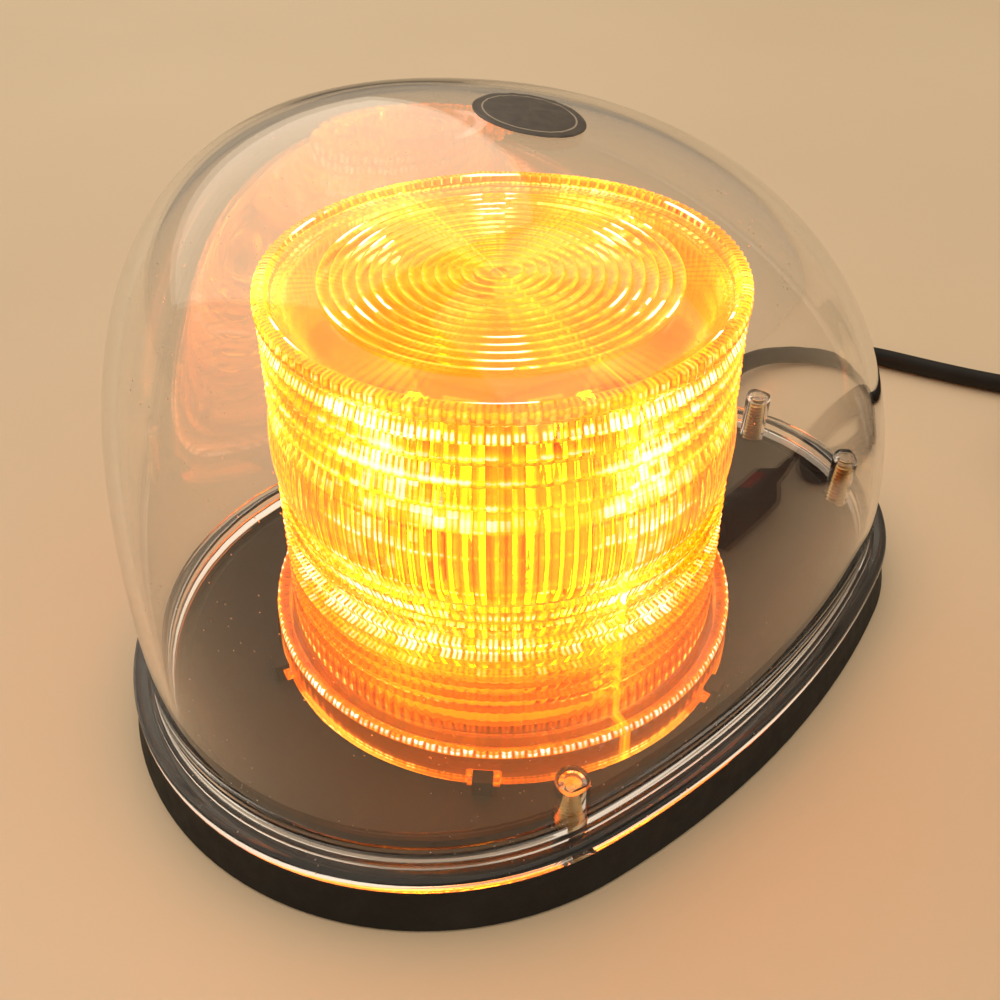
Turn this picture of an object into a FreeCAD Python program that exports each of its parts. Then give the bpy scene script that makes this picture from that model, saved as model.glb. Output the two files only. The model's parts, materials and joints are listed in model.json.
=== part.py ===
"""Magnet-mount LED warning beacon: teardrop dome over a drum lens, with its lead and cigar plug.

Millimetres, +Z up.  The origin is on the roof surface, under the middle of the body.
The round nose points along -Y and the narrow tail along +Y.
"""
import FreeCAD, Part
import math
import os

V = FreeCAD.Vector
UP = V(0, 0, 1)

# ---------------------------------------------------------------- plan of the body
NOSE_RADIUS = 67.0          # round end of the dome's flange, half the body's width
TAIL_RADIUS = 48.5          # narrow end of the flange
ARC_SPACING = 73.5          # between the centres of the two end arcs
LENS_BEHIND_NOSE = 17.1     # lens axis, behind the nose arc's centre
APEX_BEHIND_NOSE = 2.0      # highest point of the dome, behind the nose arc's centre

# ---------------------------------------------------------------- base
PAD_THICKNESS = 1.0         # rubber under each magnet, which stands on the roof
SKIRT_LIFT = 0.5            # skirt's lower edge above the roof
SKIRT_LIP = 4.0             # how far the skirt turns in under the base wall
SKIRT_FLARE = 1.5           # skirt's foot outside the flange
SKIRT_TOP_INSET = 0.5       # skirt's top inside the flange
BASE_INSET = 2.0            # base wall inside the flange
BASE_LIFT = 1.5             # base wall's lower edge above the roof
BASE_WALL = 2.5
RIM_TOP = 9.5               # seat of the dome gasket
PLATFORM_RISE = 2.5         # platform above that seat
PLATFORM_FOOT_INSET = 7.6   # foot of the platform's sloping side
PLATFORM_TOP_INSET = 11.3   # top of the platform's sloping side
COVER_LIFT = 2.0            # bottom cover above the roof
COVER_THICKNESS = 1.5
COVER_GAP = 0.3

# ---------------------------------------------------------------- dome
GASKET_THICKNESS = 1.0
GASKET_INSET = 0.8
GASKET_WIDTH = 3.0
FLANGE_THICKNESS = 3.0
FLANGE_WIDTH = 4.5
STEP_INSET = 3.3            # raised step where the wall meets the flange
STEP_RISE = 0.8
DOME_WALL = 2.5
DOME_HEIGHT = 118.0         # flange's underside to the apex
NOSE_POWER = 3.1            # fullness of the nose's profile
TAIL_POWER = 2.0            # fullness of the tail's profile
SIDE_POWER = 2.9            # fullness of the cross-section
WIDEST_SHARE = 0.48         # a level's half width is at most this share of its length
DOME_LEVELS = 9
TOP_ANGLE = 86.0            # last level, in degrees along the profile
BOSS_RADIUS = 3.25
BOSS_HEIGHT = 14.6
BOSS_SINK = 0.8             # how far a boss runs into the dome's wall
NOSE_BOSS_ANGLE = 3.8       # ahead of the widest place
TAIL_BOSS_ANGLE = 24.0      # each side of the tail's tip
SCREW_RADIUS = 2.0
SCREW_HEAD_RADIUS = 3.8
SCREW_HEAD_HEIGHT = 2.2
SCREW_GRIP = 13.0           # thread inside the boss
STICKER_RADIUS = 9.4
STICKER_THICKNESS = 0.25
STICKER_X = 5.0

# ---------------------------------------------------------------- lens
LENS_HEIGHT = 86.0
LENS_TOP_RADIUS = 45.0
LENS_FOOT_RADIUS = 46.9
LENS_WALL = 2.8
COLLAR_HEIGHT = 9.8
COLLAR_TOP_RADIUS = 50.8
COLLAR_DRAFT = 0.6          # how far the collar's foot stands outside its top
COLLAR_WALL = 2.4
COLLAR_SINK = 1.5           # collar's foot below the platform
COLLAR_GAP = 0.6
LUGS = 6                    # bayonet lugs round the collar
LUG_ANGLE = -36.0           # first lug, from +X
LUG_OUT = 2.2
LUG_WIDTH = 7.0
LUG_HEIGHT = 2.0
LUG_LIFT = 0.3              # above the platform
HOOK_GAP = 0.3              # all round a lug
HOOK_WALL = 1.4
HOOK_WIDTH = 4.0
PRISM_DEPTH = 0.9
BAND_LOW = 47.9             # lower edge of the plain bulging band
BAND_HIGH = 61.1
BAND_BULGE = 0.6
PRISMS_ABOVE = 5
PITCH_ABOVE = 5.1
SHRINK_ABOVE = 0.93
PRISMS_BELOW = 8
PITCH_BELOW = 4.5
SHRINK_BELOW = 0.96
RIM_WIDTH = 2.5             # raised rim round the lens's top
RIM_HEIGHT = 1.0
DISC_RADIUS = 33.7          # ringed disc in the middle of the top
DISC_RINGS = 6
DISC_RIDGE = 0.5
TOP_THICKNESS = 2.5
SPIGOT_WALL = 2.5
SPIGOT_HEIGHT = 3.5
SEAL_WIDTH = 2.0
SEAL_HEIGHT = 2.0
SEAL_GAP = 0.15

# ---------------------------------------------------------------- light unit
BOARD_LIFT = 5.0            # main board above the platform
BOARD_THICKNESS = 1.6
BOARD_RADIUS = 40.5
STANDOFF_RADIUS = 3.0
STANDOFF_CIRCLE = 34.0
STANDOFF_ANGLES = (30.0, 150.0, 270.0)
BOARD_SCREW_RADIUS = 1.25
BOARD_SCREW_HEAD = 2.5
BOARD_SCREW_HEAD_HEIGHT = 1.8
BOARD_SCREW_LENGTH = 4.0
POST_FLATS = 32.0           # across the flats of the six-sided post
POST_WALL = 2.0
POST_TURN = 30.0            # a corner of the post, from the right-hand side
POST_TOP_GAP = 16.4         # between the post's cap and the lens's ceiling
CAP_THICKNESS = 2.0
FACES = 6
LED_BOARD_WIDTH = 16.0
LED_BOARD_HEIGHT = 56.0
LED_BOARD_THICKNESS = 1.2
STRIP_WIDTH = 8.0
STRIP_THICKNESS = 0.8
LED_RADIUS = 2.8
LED_CROWN_RADIUS = 1.4      # flat front of a lamp, past its tapered crown
LED_CROWN_HEIGHT = 2.4
LED_PITCH = 12.5
STRIP_MARGIN = 4.2          # from the last lamp's middle to the strip's end
LEDS_PER_STRIP = 4
COMPONENT_CIRCLE = 29.0
CAPACITOR_RADIUS = 4.0
CAPACITOR_HEIGHT = 11.0
CAPACITOR_ANGLES = (200.0, 235.0)
CHOKE_RADIUS = 5.5
CHOKE_WAIST_RADIUS = 4.4
CHOKE_HEIGHT = 6.0
CHOKE_ANGLE = 90.0
REGULATOR_SIZE = (9.0, 10.0, 4.5)
REGULATOR_ANGLE = 0.0

# ---------------------------------------------------------------- magnets
MAGNET_RADIUS = 20.0
MAGNET_HEIGHT = 6.0
PAD_LIP = 1.0
PAD_LIP_HEIGHT = 2.0
NOSE_MAGNET_X = 29.0
NOSE_MAGNET_AHEAD = 14.0    # of the nose arc's centre
TAIL_MAGNET_AHEAD = 0.0     # of the tail arc's centre
MAGNET_SCREW_RADIUS = 2.0
MAGNET_SCREW_HEAD = 4.4
MAGNET_SCREW_HEAD_HEIGHT = 2.4
MAGNET_SCREW_GRIP = 3.6
MAGNET_BOSS_RADIUS = 6.5

# ---------------------------------------------------------------- lead
CORD_DIAMETER = 5.5
ARC_SHARE = 0.45            # of the shorter run, taken by the arc at a corner of the route
INLET_ANGLE = 138.0         # place of the inlet on the tail arc, from +X
BOOT_HEADING = 118.0        # way the strain relief points, from +X
BOOT_LENGTH = 25.5
BOOT_FOOT_RADIUS = 4.8
BOOT_TIP_RADIUS = 3.7
BOOT_NECK_RADIUS = 3.5
BOOT_NECK_LENGTH = 9.0
BOOT_HEIGHT = 5.3           # its axis above the roof
BOOT_GROOVES = 5            # rings of both strain reliefs, which let them bend
BOOT_GROOVE_SHARE = 0.45    # of the pitch of the rings
BOOT_GROOVE_DEPTH = 0.6
BOOT_PLAIN = 4.0            # plain length at each end
NOTCH_GAP = 0.3
LEAD_POINTS = [
    (-50.99, 108.02, 5.3), (-53.0, 117.5, 4.8), (-52.4, 127.2, 3.8), (-49.0, 136.3, 3.1),
    (-43.2, 144.4, 2.75), (-34.7, 151.8, 2.8), (-21.6, 159.7, 2.75), (-8.0, 168.4, 2.8),
    (5.0, 178.4, 2.9), (16.5, 188.0, 3.1), (25.5, 195.0, 3.4), (32.5, 200.7, 3.55),
]
COIL_X = 62.0
COIL_Y = 176.0
COIL_MIDDLE_RADIUS = 30.25  # middle of its turns
COIL_COLUMNS = 4
COIL_LAYERS = 2
COIL_BEVEL = 1.6
TIE_THICKNESS = 0.6
TIE_WIDTH = 5.0
TIE_GAP = 0.2
TIE_ANGLE = 215.0
TAIL_POINTS = [(100.5, 176.0, 9.05), (100.6, 167.5, 10.2), (101.86, 159.12, 11.5)]

# ---------------------------------------------------------------- cigar plug
PLUG_X = 104.6
PLUG_Y = 151.6
PLUG_HEADING = -70.0
PLUG_BOOT_LENGTH = 24.0
PLUG_BOOT_TIP = 3.7
PLUG_BOOT_FOOT = 6.0
HANDLE_LENGTH = 40.0
HANDLE_WIDTH = 25.0
HANDLE_HEIGHT = 23.0
HANDLE_CORNER = 6.0
PLUG_WALL = 2.2
BARREL_RADIUS = 10.2
BARREL_LENGTH = 27.0
NUT_RADIUS = 8.6
NUT_LENGTH = 8.0
NUT_BORE = 3.85
NUT_TAPER = 0.7             # share of the nut that is straight, and of its radius at the front
NUT_NOTCHES = 12
NUT_NOTCH_RADIUS = 0.7
TIP_RADIUS = 3.8
TIP_OUT = 5.0
TIP_HEAD_LENGTH = 2.0
TIP_HEAD_RADIUS = 5.0
TIP_GAP = 0.2               # between its shoulder and the barrel's end wall
CONTACT_WIDTH = 4.0
CONTACT_LENGTH = 15.0
CONTACT_OUT = 1.2
CONTACT_SLOT_GAP = 0.2
SWITCH_AT = 13.0            # middle of the rocker, from the handle's rear end
SWITCH_LENGTH = 13.0
SWITCH_WIDTH = 9.0
SWITCH_DEPTH = 5.0
SWITCH_TILT = 9.0           # rocker's tilt in degrees at each side
SWITCH_GAP = 0.25
BUTTON_AT = 29.0
BUTTON_RADIUS = 3.6
BUTTON_OUT = 1.4
BUTTON_FLANGE = 1.0
BUTTON_GAP = 0.2
LAMP_AT = 36.5
LAMP_RADIUS = 1.6
LAMP_OUT = 0.4

# ---------------------------------------------------------------- worked out from the above
BODY_LENGTH = NOSE_RADIUS + ARC_SPACING + TAIL_RADIUS
NOSE_Y = NOSE_RADIUS - BODY_LENGTH / 2
TAIL_Y = NOSE_Y + ARC_SPACING
LENS_Y = NOSE_Y + LENS_BEHIND_NOSE
APEX_Y = NOSE_Y + APEX_BEHIND_NOSE
PLATFORM_TOP = RIM_TOP + PLATFORM_RISE
DOME_BOTTOM = RIM_TOP + GASKET_THICKNESS
LENS_FOOT = PLATFORM_TOP - COLLAR_SINK
MAGNET_BOTTOM = PAD_THICKNESS
MAGNET_TOP = MAGNET_BOTTOM + MAGNET_HEIGHT
DECK_UNDERSIDE = MAGNET_TOP
BOARD_BOTTOM = PLATFORM_TOP + BOARD_LIFT
BOARD_TOP = BOARD_BOTTOM + BOARD_THICKNESS
LENS_CEILING = LENS_FOOT + LENS_HEIGHT - RIM_HEIGHT - TOP_THICKNESS
POST_HEIGHT = LENS_CEILING - POST_TOP_GAP - CAP_THICKNESS - BOARD_TOP
COLLAR_FOOT_RADIUS = COLLAR_TOP_RADIUS + COLLAR_DRAFT
SPIGOT_RADIUS = COLLAR_TOP_RADIUS - COLLAR_WALL - SEAL_WIDTH - SEAL_GAP
CORD_RADIUS = CORD_DIAMETER / 2
COIL_BOTTOM = TIE_THICKNESS + TIE_GAP
COIL_HALF_WIDTH = COIL_COLUMNS * CORD_RADIUS
COIL_TOP = COIL_BOTTOM + COIL_LAYERS * CORD_DIAMETER
PLUG_AXIS_HEIGHT = HANDLE_HEIGHT / 2
HANDLE_START = PLUG_BOOT_LENGTH
BARREL_START = HANDLE_START + HANDLE_LENGTH
NUT_START = BARREL_START + BARREL_LENGTH


# ---------------------------------------------------------------- helpers
def polar(radius, degrees, z=0.0):
    """A point at this radius and angle from +X."""
    a = math.radians(degrees)
    return V(radius * math.cos(a), radius * math.sin(a), z)


def egg_wire(nose_y, half_width, tail_y, tail_radius, z):
    """Teardrop outline: half circle at the nose, two long side arcs and the tail arc, all tangent."""
    span = tail_y - nose_y
    side_radius = (span**2 + half_width**2 - tail_radius**2) / (2 * (half_width - tail_radius))
    inner = side_radius - half_width
    end = math.atan2(span, inner)
    side_x = half_width - side_radius
    joint = V(tail_radius * math.cos(end), tail_y + tail_radius * math.sin(end), z)
    middle = V(side_x + side_radius * math.cos(end / 2), nose_y + side_radius * math.sin(end / 2), z)
    right, left = V(half_width, nose_y, z), V(-half_width, nose_y, z)
    mirrored = [V(-p.x, p.y, z) for p in (joint, middle)]
    return Part.Wire([
        Part.Arc(left, V(0, nose_y - half_width, z), right).toShape(),
        Part.Arc(right, middle, joint).toShape(),
        Part.Arc(joint, V(0, tail_y + tail_radius, z), mirrored[0]).toShape(),
        Part.Arc(mirrored[0], mirrored[1], left).toShape(),
    ])


def rim_wire(inset, z):
    """The body's outline, moved in from the flange's edge."""
    return egg_wire(NOSE_Y, NOSE_RADIUS - inset, TAIL_Y, TAIL_RADIUS - inset, z)


def egg_block(inset, bottom, top):
    return Part.Face(rim_wire(inset, bottom)).extrude(V(0, 0, top - bottom))


def egg_ring(outer_inset, inner_inset, bottom, top):
    return egg_block(outer_inset, bottom, top).cut(egg_block(inner_inset, bottom, top))


def egg_taper(low_inset, bottom, high_inset, top):
    """A block whose outline changes evenly from one level to the other."""
    return Part.makeLoft([rim_wire(low_inset, bottom), rim_wire(high_inset, top)], True, True)


def rod(radius, base, length, direction=UP):
    return Part.makeCylinder(radius, length, base, direction)


def tube(outer, inner, base, length, direction=UP):
    return rod(outer, base, length, direction).cut(rod(inner, base, length, direction))


def turned(profile, axis_point, direction=UP, across=V(1, 0, 0)):
    """Turn a closed outline of (radius, height) pairs about an axis."""
    corners = [axis_point + across * r + direction * h for r, h in profile]
    face = Part.Face(Part.makePolygon(corners + corners[:1]))
    return face.revolve(axis_point, direction, 360)


def box(size, centre_bottom):
    """A box of this size, standing centred on a point."""
    x, y, z = size
    return Part.makeBox(x, y, z, centre_bottom - V(x / 2, y / 2, 0))


def rounded_bar(width, height, corner, start, length):
    """A bar along +Y with a rounded rectangle for its section."""
    w, h = width / 2 - corner, height / 2 - corner
    edges = []
    for sx, sz, a in ((1, 1, 0), (-1, 1, 90), (-1, -1, 180), (1, -1, 270)):
        arc = [V(sx * w, start, sz * h) + V(math.cos(math.radians(t)), 0, math.sin(math.radians(t))) * corner
               for t in (a, a + 45, a + 90)]
        edges.append(arc)
    pieces = []
    for i, arc in enumerate(edges):
        pieces.append(Part.Arc(*arc).toShape())
        pieces.append(Part.LineSegment(arc[2], edges[(i + 1) % len(edges)][0]).toShape())
    return Part.Face(Part.Wire(pieces)).extrude(V(0, length, 0))


def save(name, shape):
    """Write one node, as a single solid."""
    solids = shape.removeSplitter().Solids
    if len(solids) != 1:
        raise ValueError(f"{name} has {len(solids)} solids")
    if not solids[0].isValid():
        raise ValueError(f"{name} is not valid")
    solids[0].exportStep(f"parts/{name}.step")
    print(f"{name:18s} {solids[0].Volume:10.1f} mm3")


# ---------------------------------------------------------------- places shared by several pieces
def dome_boss_places():
    """The four screw bosses, just inside the dome's wall."""
    inset = FLANGE_WIDTH + DOME_WALL + BOSS_RADIUS - BOSS_SINK
    nose = [V(0, NOSE_Y, 0) + polar(NOSE_RADIUS - inset, a)
            for a in (-NOSE_BOSS_ANGLE, 180 + NOSE_BOSS_ANGLE)]
    tail = [V(0, TAIL_Y, 0) + polar(TAIL_RADIUS - inset, 90 + a)
            for a in (-TAIL_BOSS_ANGLE, TAIL_BOSS_ANGLE)]
    return nose + tail


def magnet_places():
    ahead = NOSE_Y - NOSE_MAGNET_AHEAD
    return [V(-NOSE_MAGNET_X, ahead, 0), V(NOSE_MAGNET_X, ahead, 0), V(0, TAIL_Y - TAIL_MAGNET_AHEAD, 0)]


def standoff_places():
    return [V(0, LENS_Y, 0) + polar(STANDOFF_CIRCLE, a) for a in STANDOFF_ANGLES]


def inlet_point():
    """Where the strain relief meets the base wall."""
    return V(0, TAIL_Y, BOOT_HEIGHT) + polar(TAIL_RADIUS - BASE_INSET, INLET_ANGLE)


def boot_direction():
    return polar(1, BOOT_HEADING)


# ---------------------------------------------------------------- base
def base_tray():
    inner = BASE_INSET + BASE_WALL
    ceiling = PLATFORM_TOP - BASE_WALL
    body = egg_block(BASE_INSET, BASE_LIFT, RIM_TOP)
    body = body.fuse(egg_taper(PLATFORM_FOOT_INSET, RIM_TOP, PLATFORM_TOP_INSET, PLATFORM_TOP))
    body = body.cut(egg_block(inner, BASE_LIFT, DECK_UNDERSIDE))
    body = body.cut(egg_block(PLATFORM_TOP_INSET + BASE_WALL, DECK_UNDERSIDE, ceiling))
    axis = V(0, LENS_Y, 0)
    body = body.cut(tube(COLLAR_FOOT_RADIUS + COLLAR_GAP, SPIGOT_RADIUS, axis + UP * LENS_FOOT, COLLAR_SINK))
    spigot_height = COLLAR_SINK + SPIGOT_HEIGHT
    body = body.fuse(tube(SPIGOT_RADIUS, SPIGOT_RADIUS - SPIGOT_WALL, axis + UP * LENS_FOOT, spigot_height))
    for angle in lug_angles():
        body = body.fuse(lens_hook(angle))
    for p in standoff_places():
        body = body.fuse(rod(STANDOFF_RADIUS, p + UP * ceiling, BOARD_BOTTOM - ceiling))
        screw_end = p + UP * (BOARD_BOTTOM - BOARD_SCREW_LENGTH)
        body = body.cut(rod(BOARD_SCREW_RADIUS, screw_end, BOARD_SCREW_LENGTH))
    for p in dome_boss_places():
        seat = BOSS_RADIUS + NOTCH_GAP
        body = body.cut(rod(seat, p + UP * DOME_BOTTOM, PLATFORM_TOP - DOME_BOTTOM))
        body = body.fuse(rod(seat, p + UP * DECK_UNDERSIDE, DOME_BOTTOM - DECK_UNDERSIDE))
        body = body.cut(rod(SCREW_RADIUS, p + UP * DECK_UNDERSIDE, DOME_BOTTOM - DECK_UNDERSIDE))
    for p in magnet_places():
        body = body.fuse(rod(MAGNET_BOSS_RADIUS, p + UP * MAGNET_TOP, ceiling - MAGNET_TOP))
        body = body.cut(rod(MAGNET_SCREW_RADIUS, p + UP * MAGNET_TOP, MAGNET_SCREW_GRIP))
    inlet = inlet_point() - boot_direction() * BOOT_NECK_LENGTH
    return body.cut(rod(BOOT_NECK_RADIUS, inlet, BOOT_NECK_LENGTH + BOOT_LENGTH, boot_direction()))


def bottom_cover():
    plate = egg_block(BASE_INSET + BASE_WALL + COVER_GAP, COVER_LIFT, COVER_LIFT + COVER_THICKNESS)
    for p in magnet_places():
        plate = plate.cut(rod(MAGNET_RADIUS + PAD_LIP + COVER_GAP, p, DECK_UNDERSIDE))
    for p in dome_boss_places():
        plate = plate.cut(rod(SCREW_HEAD_RADIUS + COVER_GAP, p, DECK_UNDERSIDE))
    inlet = inlet_point() - boot_direction() * (BOOT_NECK_LENGTH + COVER_GAP)
    return plate.cut(rod(BOOT_NECK_RADIUS + COVER_GAP, inlet, BOOT_LENGTH, boot_direction()))


def skirt():
    outer = egg_taper(-SKIRT_FLARE, SKIRT_LIFT, SKIRT_TOP_INSET, RIM_TOP)
    ring = outer.cut(egg_block(BASE_INSET, BASE_LIFT, RIM_TOP))
    ring = ring.cut(egg_block(BASE_INSET + SKIRT_LIP, SKIRT_LIFT, BASE_LIFT))
    notch = inlet_point() - boot_direction() * BOOT_NECK_LENGTH
    notch_radius = BOOT_FOOT_RADIUS + NOTCH_GAP
    length = BOOT_NECK_LENGTH + BOOT_LENGTH
    ring = ring.cut(rod(notch_radius, notch, length, boot_direction()))
    return ring


def dome_gasket():
    return egg_ring(GASKET_INSET + BASE_INSET, GASKET_INSET + BASE_INSET + GASKET_WIDTH, RIM_TOP, DOME_BOTTOM)


# ---------------------------------------------------------------- dome
def dome_level(inset, height, angle):
    """One outline of the dome, at this angle along its profile."""
    rise = math.sin(math.radians(angle))

    def shrink(power):
        return (1 - rise**power) ** (1 / power)

    half_width = NOSE_RADIUS - inset
    tail_radius = TAIL_RADIUS - inset
    front = APEX_Y - (APEX_Y - NOSE_Y + half_width) * shrink(NOSE_POWER)
    back = APEX_Y + (TAIL_Y + tail_radius - APEX_Y) * shrink(TAIL_POWER)
    width = min(half_width * shrink(SIDE_POWER), WIDEST_SHARE * (back - front))
    share = tail_radius / half_width
    small = width * (share + (1 - share) * rise / 2)
    return egg_wire(front + width, width, back - small, small, DOME_BOTTOM + height * rise)


def dome_form(inset, height):
    """The dome's closed form, lofted smoothly through levels that close up towards the apex."""
    angles = [TOP_ANGLE * i / (DOME_LEVELS - 1) for i in range(DOME_LEVELS)]
    return Part.makeLoft([dome_level(inset, height, a) for a in angles], True, False)


def dome():
    outer = dome_form(FLANGE_WIDTH, DOME_HEIGHT)
    inner = dome_form(FLANGE_WIDTH + DOME_WALL, DOME_HEIGHT - DOME_WALL)
    shell = outer.cut(inner)
    flange = egg_ring(0, FLANGE_WIDTH + DOME_WALL / 2, DOME_BOTTOM, DOME_BOTTOM + FLANGE_THICKNESS)
    step_top = DOME_BOTTOM + FLANGE_THICKNESS + STEP_RISE
    step = egg_ring(STEP_INSET, FLANGE_WIDTH + DOME_WALL / 2, DOME_BOTTOM, step_top)
    shell = shell.fuse(flange).fuse(step)
    for p in dome_boss_places():
        shell = shell.fuse(rod(BOSS_RADIUS, p + UP * DOME_BOTTOM, BOSS_HEIGHT))
        shell = shell.cut(rod(SCREW_RADIUS, p + UP * DOME_BOTTOM, SCREW_GRIP))
    return shell


def dome_screw(p):
    head = rod(SCREW_HEAD_RADIUS, p + UP * (DECK_UNDERSIDE - SCREW_HEAD_HEIGHT), SCREW_HEAD_HEIGHT)
    return head.fuse(rod(SCREW_RADIUS, p + UP * DECK_UNDERSIDE, DOME_BOTTOM + SCREW_GRIP - DECK_UNDERSIDE))


def sticker():
    """Thin round label that follows the dome's top."""
    skin = dome_form(FLANGE_WIDTH - STICKER_THICKNESS, DOME_HEIGHT + STICKER_THICKNESS)
    skin = skin.common(rod(STICKER_RADIUS, V(STICKER_X, LENS_Y, DOME_BOTTOM + DOME_HEIGHT / 2), DOME_HEIGHT))
    return skin.cut(dome_form(FLANGE_WIDTH, DOME_HEIGHT))


# ---------------------------------------------------------------- lens
def lens_radius(height):
    """Outer radius of the drum, which tapers from its foot to its top."""
    share = (height - COLLAR_HEIGHT) / (LENS_HEIGHT - COLLAR_HEIGHT)
    return LENS_FOOT_RADIUS + (LENS_TOP_RADIUS - LENS_FOOT_RADIUS) * share


def lens_outside():
    """Outer side of the lens, from the foot up: collar, prisms, bulging band, prisms."""
    below, h = [], BAND_LOW
    for i in range(PRISMS_BELOW):
        low = h - PITCH_BELOW * SHRINK_BELOW**i
        below += [(lens_radius(h), h), (lens_radius(low) - PRISM_DEPTH, low)]
        h = low
    side = [(COLLAR_FOOT_RADIUS, 0), (COLLAR_TOP_RADIUS, COLLAR_HEIGHT), (LENS_FOOT_RADIUS, COLLAR_HEIGHT)]
    side += [(lens_radius(h), h)] + below[::-1]
    band = (BAND_LOW + BAND_HIGH) / 2
    side.append((lens_radius(band) + BAND_BULGE, band))
    h = BAND_HIGH
    for i in range(PRISMS_ABOVE):
        high = h + PITCH_ABOVE * SHRINK_ABOVE**i
        side += [(lens_radius(h), h), (lens_radius(high) - PRISM_DEPTH, high)]
        h = high
    return side + [(lens_radius(h), h), (LENS_TOP_RADIUS, LENS_HEIGHT)]


def lens_top():
    """Top of the lens, from the rim inward: rim, plain ring, ringed disc."""
    flat = LENS_HEIGHT - RIM_HEIGHT
    top = [(LENS_TOP_RADIUS - RIM_WIDTH, LENS_HEIGHT), (LENS_TOP_RADIUS - RIM_WIDTH, flat)]
    pitch = DISC_RADIUS / (DISC_RINGS + 1)
    for i in range(DISC_RINGS):
        r = DISC_RADIUS - pitch * i
        top += [(r, flat), (r, flat + DISC_RIDGE)]
    return top + [(pitch, flat), (0, flat)]


def lens_inside():
    """Inner side of the lens, from the middle of the top down to the foot."""
    ceiling = LENS_CEILING - LENS_FOOT
    shelf = COLLAR_HEIGHT - COLLAR_WALL
    inner_foot = COLLAR_TOP_RADIUS - COLLAR_WALL
    return [(0, ceiling), (lens_radius(ceiling) - LENS_WALL, ceiling),
            (lens_radius(shelf) - LENS_WALL, shelf), (inner_foot, shelf), (inner_foot, 0)]


def lug_angles():
    return [LUG_ANGLE + 360 / LUGS * i for i in range(LUGS)]


def at_lug(shape, angle):
    """Move a piece built towards +X to its place beside the collar."""
    shape.rotate(V(0, 0, 0), UP, angle)
    shape.translate(V(0, LENS_Y, 0))
    return shape


def lens_lug(angle):
    """A tab on the collar that turns under a hook when the lens is fitted."""
    length = LUG_OUT + COLLAR_WALL / 2
    middle = COLLAR_TOP_RADIUS + LUG_OUT - length / 2
    return at_lug(box((length, LUG_WIDTH, LUG_HEIGHT), V(middle, 0, PLATFORM_TOP + LUG_LIFT)), angle)


def lens_hook(angle):
    """The hook on the platform that holds one lug down."""
    inner = COLLAR_FOOT_RADIUS + HOOK_GAP
    post_inner = COLLAR_TOP_RADIUS + LUG_OUT + HOOK_GAP
    outer = post_inner + HOOK_WALL
    height = LUG_LIFT + LUG_HEIGHT + HOOK_GAP
    post = box((HOOK_WALL, HOOK_WIDTH, height), V((post_inner + outer) / 2, 0, PLATFORM_TOP))
    roof = box((outer - inner, HOOK_WIDTH, HOOK_WALL), V((inner + outer) / 2, 0, PLATFORM_TOP + height))
    return at_lug(post.fuse(roof), angle)


def lens():
    drum = turned(lens_outside() + lens_top() + lens_inside(), V(0, LENS_Y, LENS_FOOT))
    for angle in lug_angles():
        drum = drum.fuse(lens_lug(angle))
    return drum


def lens_seal():
    return tube(SPIGOT_RADIUS + SEAL_WIDTH, SPIGOT_RADIUS, V(0, LENS_Y, LENS_FOOT), SEAL_HEIGHT)


# ---------------------------------------------------------------- light unit
def hexagon(across_flats, z):
    """A six-sided wire round the lens axis, with a corner towards the nose."""
    r = across_flats / 2 / math.cos(math.pi / FACES)
    return Part.makePolygon([V(0, LENS_Y, z) + polar(r, POST_TURN + 360 * i / FACES)
                             for i in range(FACES + 1)])


def hex_block(across_flats, bottom, height):
    return Part.Face(hexagon(across_flats, bottom)).extrude(UP * height)


def on_face(shape, index):
    """Move a piece built facing +Y on the lens axis to one face of the post."""
    placed = shape.copy()
    placed.rotate(V(0, 0, 0), UP, POST_TURN + 360 / FACES * index)
    placed.translate(V(0, LENS_Y, 0))
    return placed


def main_board():
    board = rod(BOARD_RADIUS, V(0, LENS_Y, BOARD_BOTTOM), BOARD_THICKNESS)
    for p in standoff_places():
        board = board.cut(rod(BOARD_SCREW_RADIUS, p + UP * BOARD_BOTTOM, BOARD_THICKNESS))
    return board


def board_screw(p):
    head = rod(BOARD_SCREW_HEAD, p + UP * BOARD_TOP, BOARD_SCREW_HEAD_HEIGHT)
    length = BOARD_THICKNESS + BOARD_SCREW_LENGTH
    return head.fuse(rod(BOARD_SCREW_RADIUS, p + UP * (BOARD_TOP - length), length))


def led_post():
    outer = hex_block(POST_FLATS, BOARD_TOP, POST_HEIGHT)
    return outer.cut(hex_block(POST_FLATS - 2 * POST_WALL, BOARD_TOP, POST_HEIGHT))


def post_cap():
    top = BOARD_TOP + POST_HEIGHT
    cap = hex_block(POST_FLATS + 2 * LED_BOARD_THICKNESS, top, CAP_THICKNESS)
    return cap.fuse(tube(POST_FLATS / 2 - POST_WALL - NOTCH_GAP, POST_FLATS / 2 - 2 * POST_WALL,
                         V(0, LENS_Y, top - 2 * CAP_THICKNESS), 2 * CAP_THICKNESS))


def led_middle():
    """Height of the strips' middle: the lens's bulging band, or as high as the post allows."""
    wanted = LENS_FOOT + (BAND_LOW + BAND_HIGH) / 2
    return min(wanted, BOARD_TOP + POST_HEIGHT - LED_BOARD_HEIGHT / 2)


def led_board():
    size = (LED_BOARD_WIDTH, LED_BOARD_THICKNESS, LED_BOARD_HEIGHT)
    return box(size, V(0, (POST_FLATS + LED_BOARD_THICKNESS) / 2, led_middle() - LED_BOARD_HEIGHT / 2))


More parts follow.
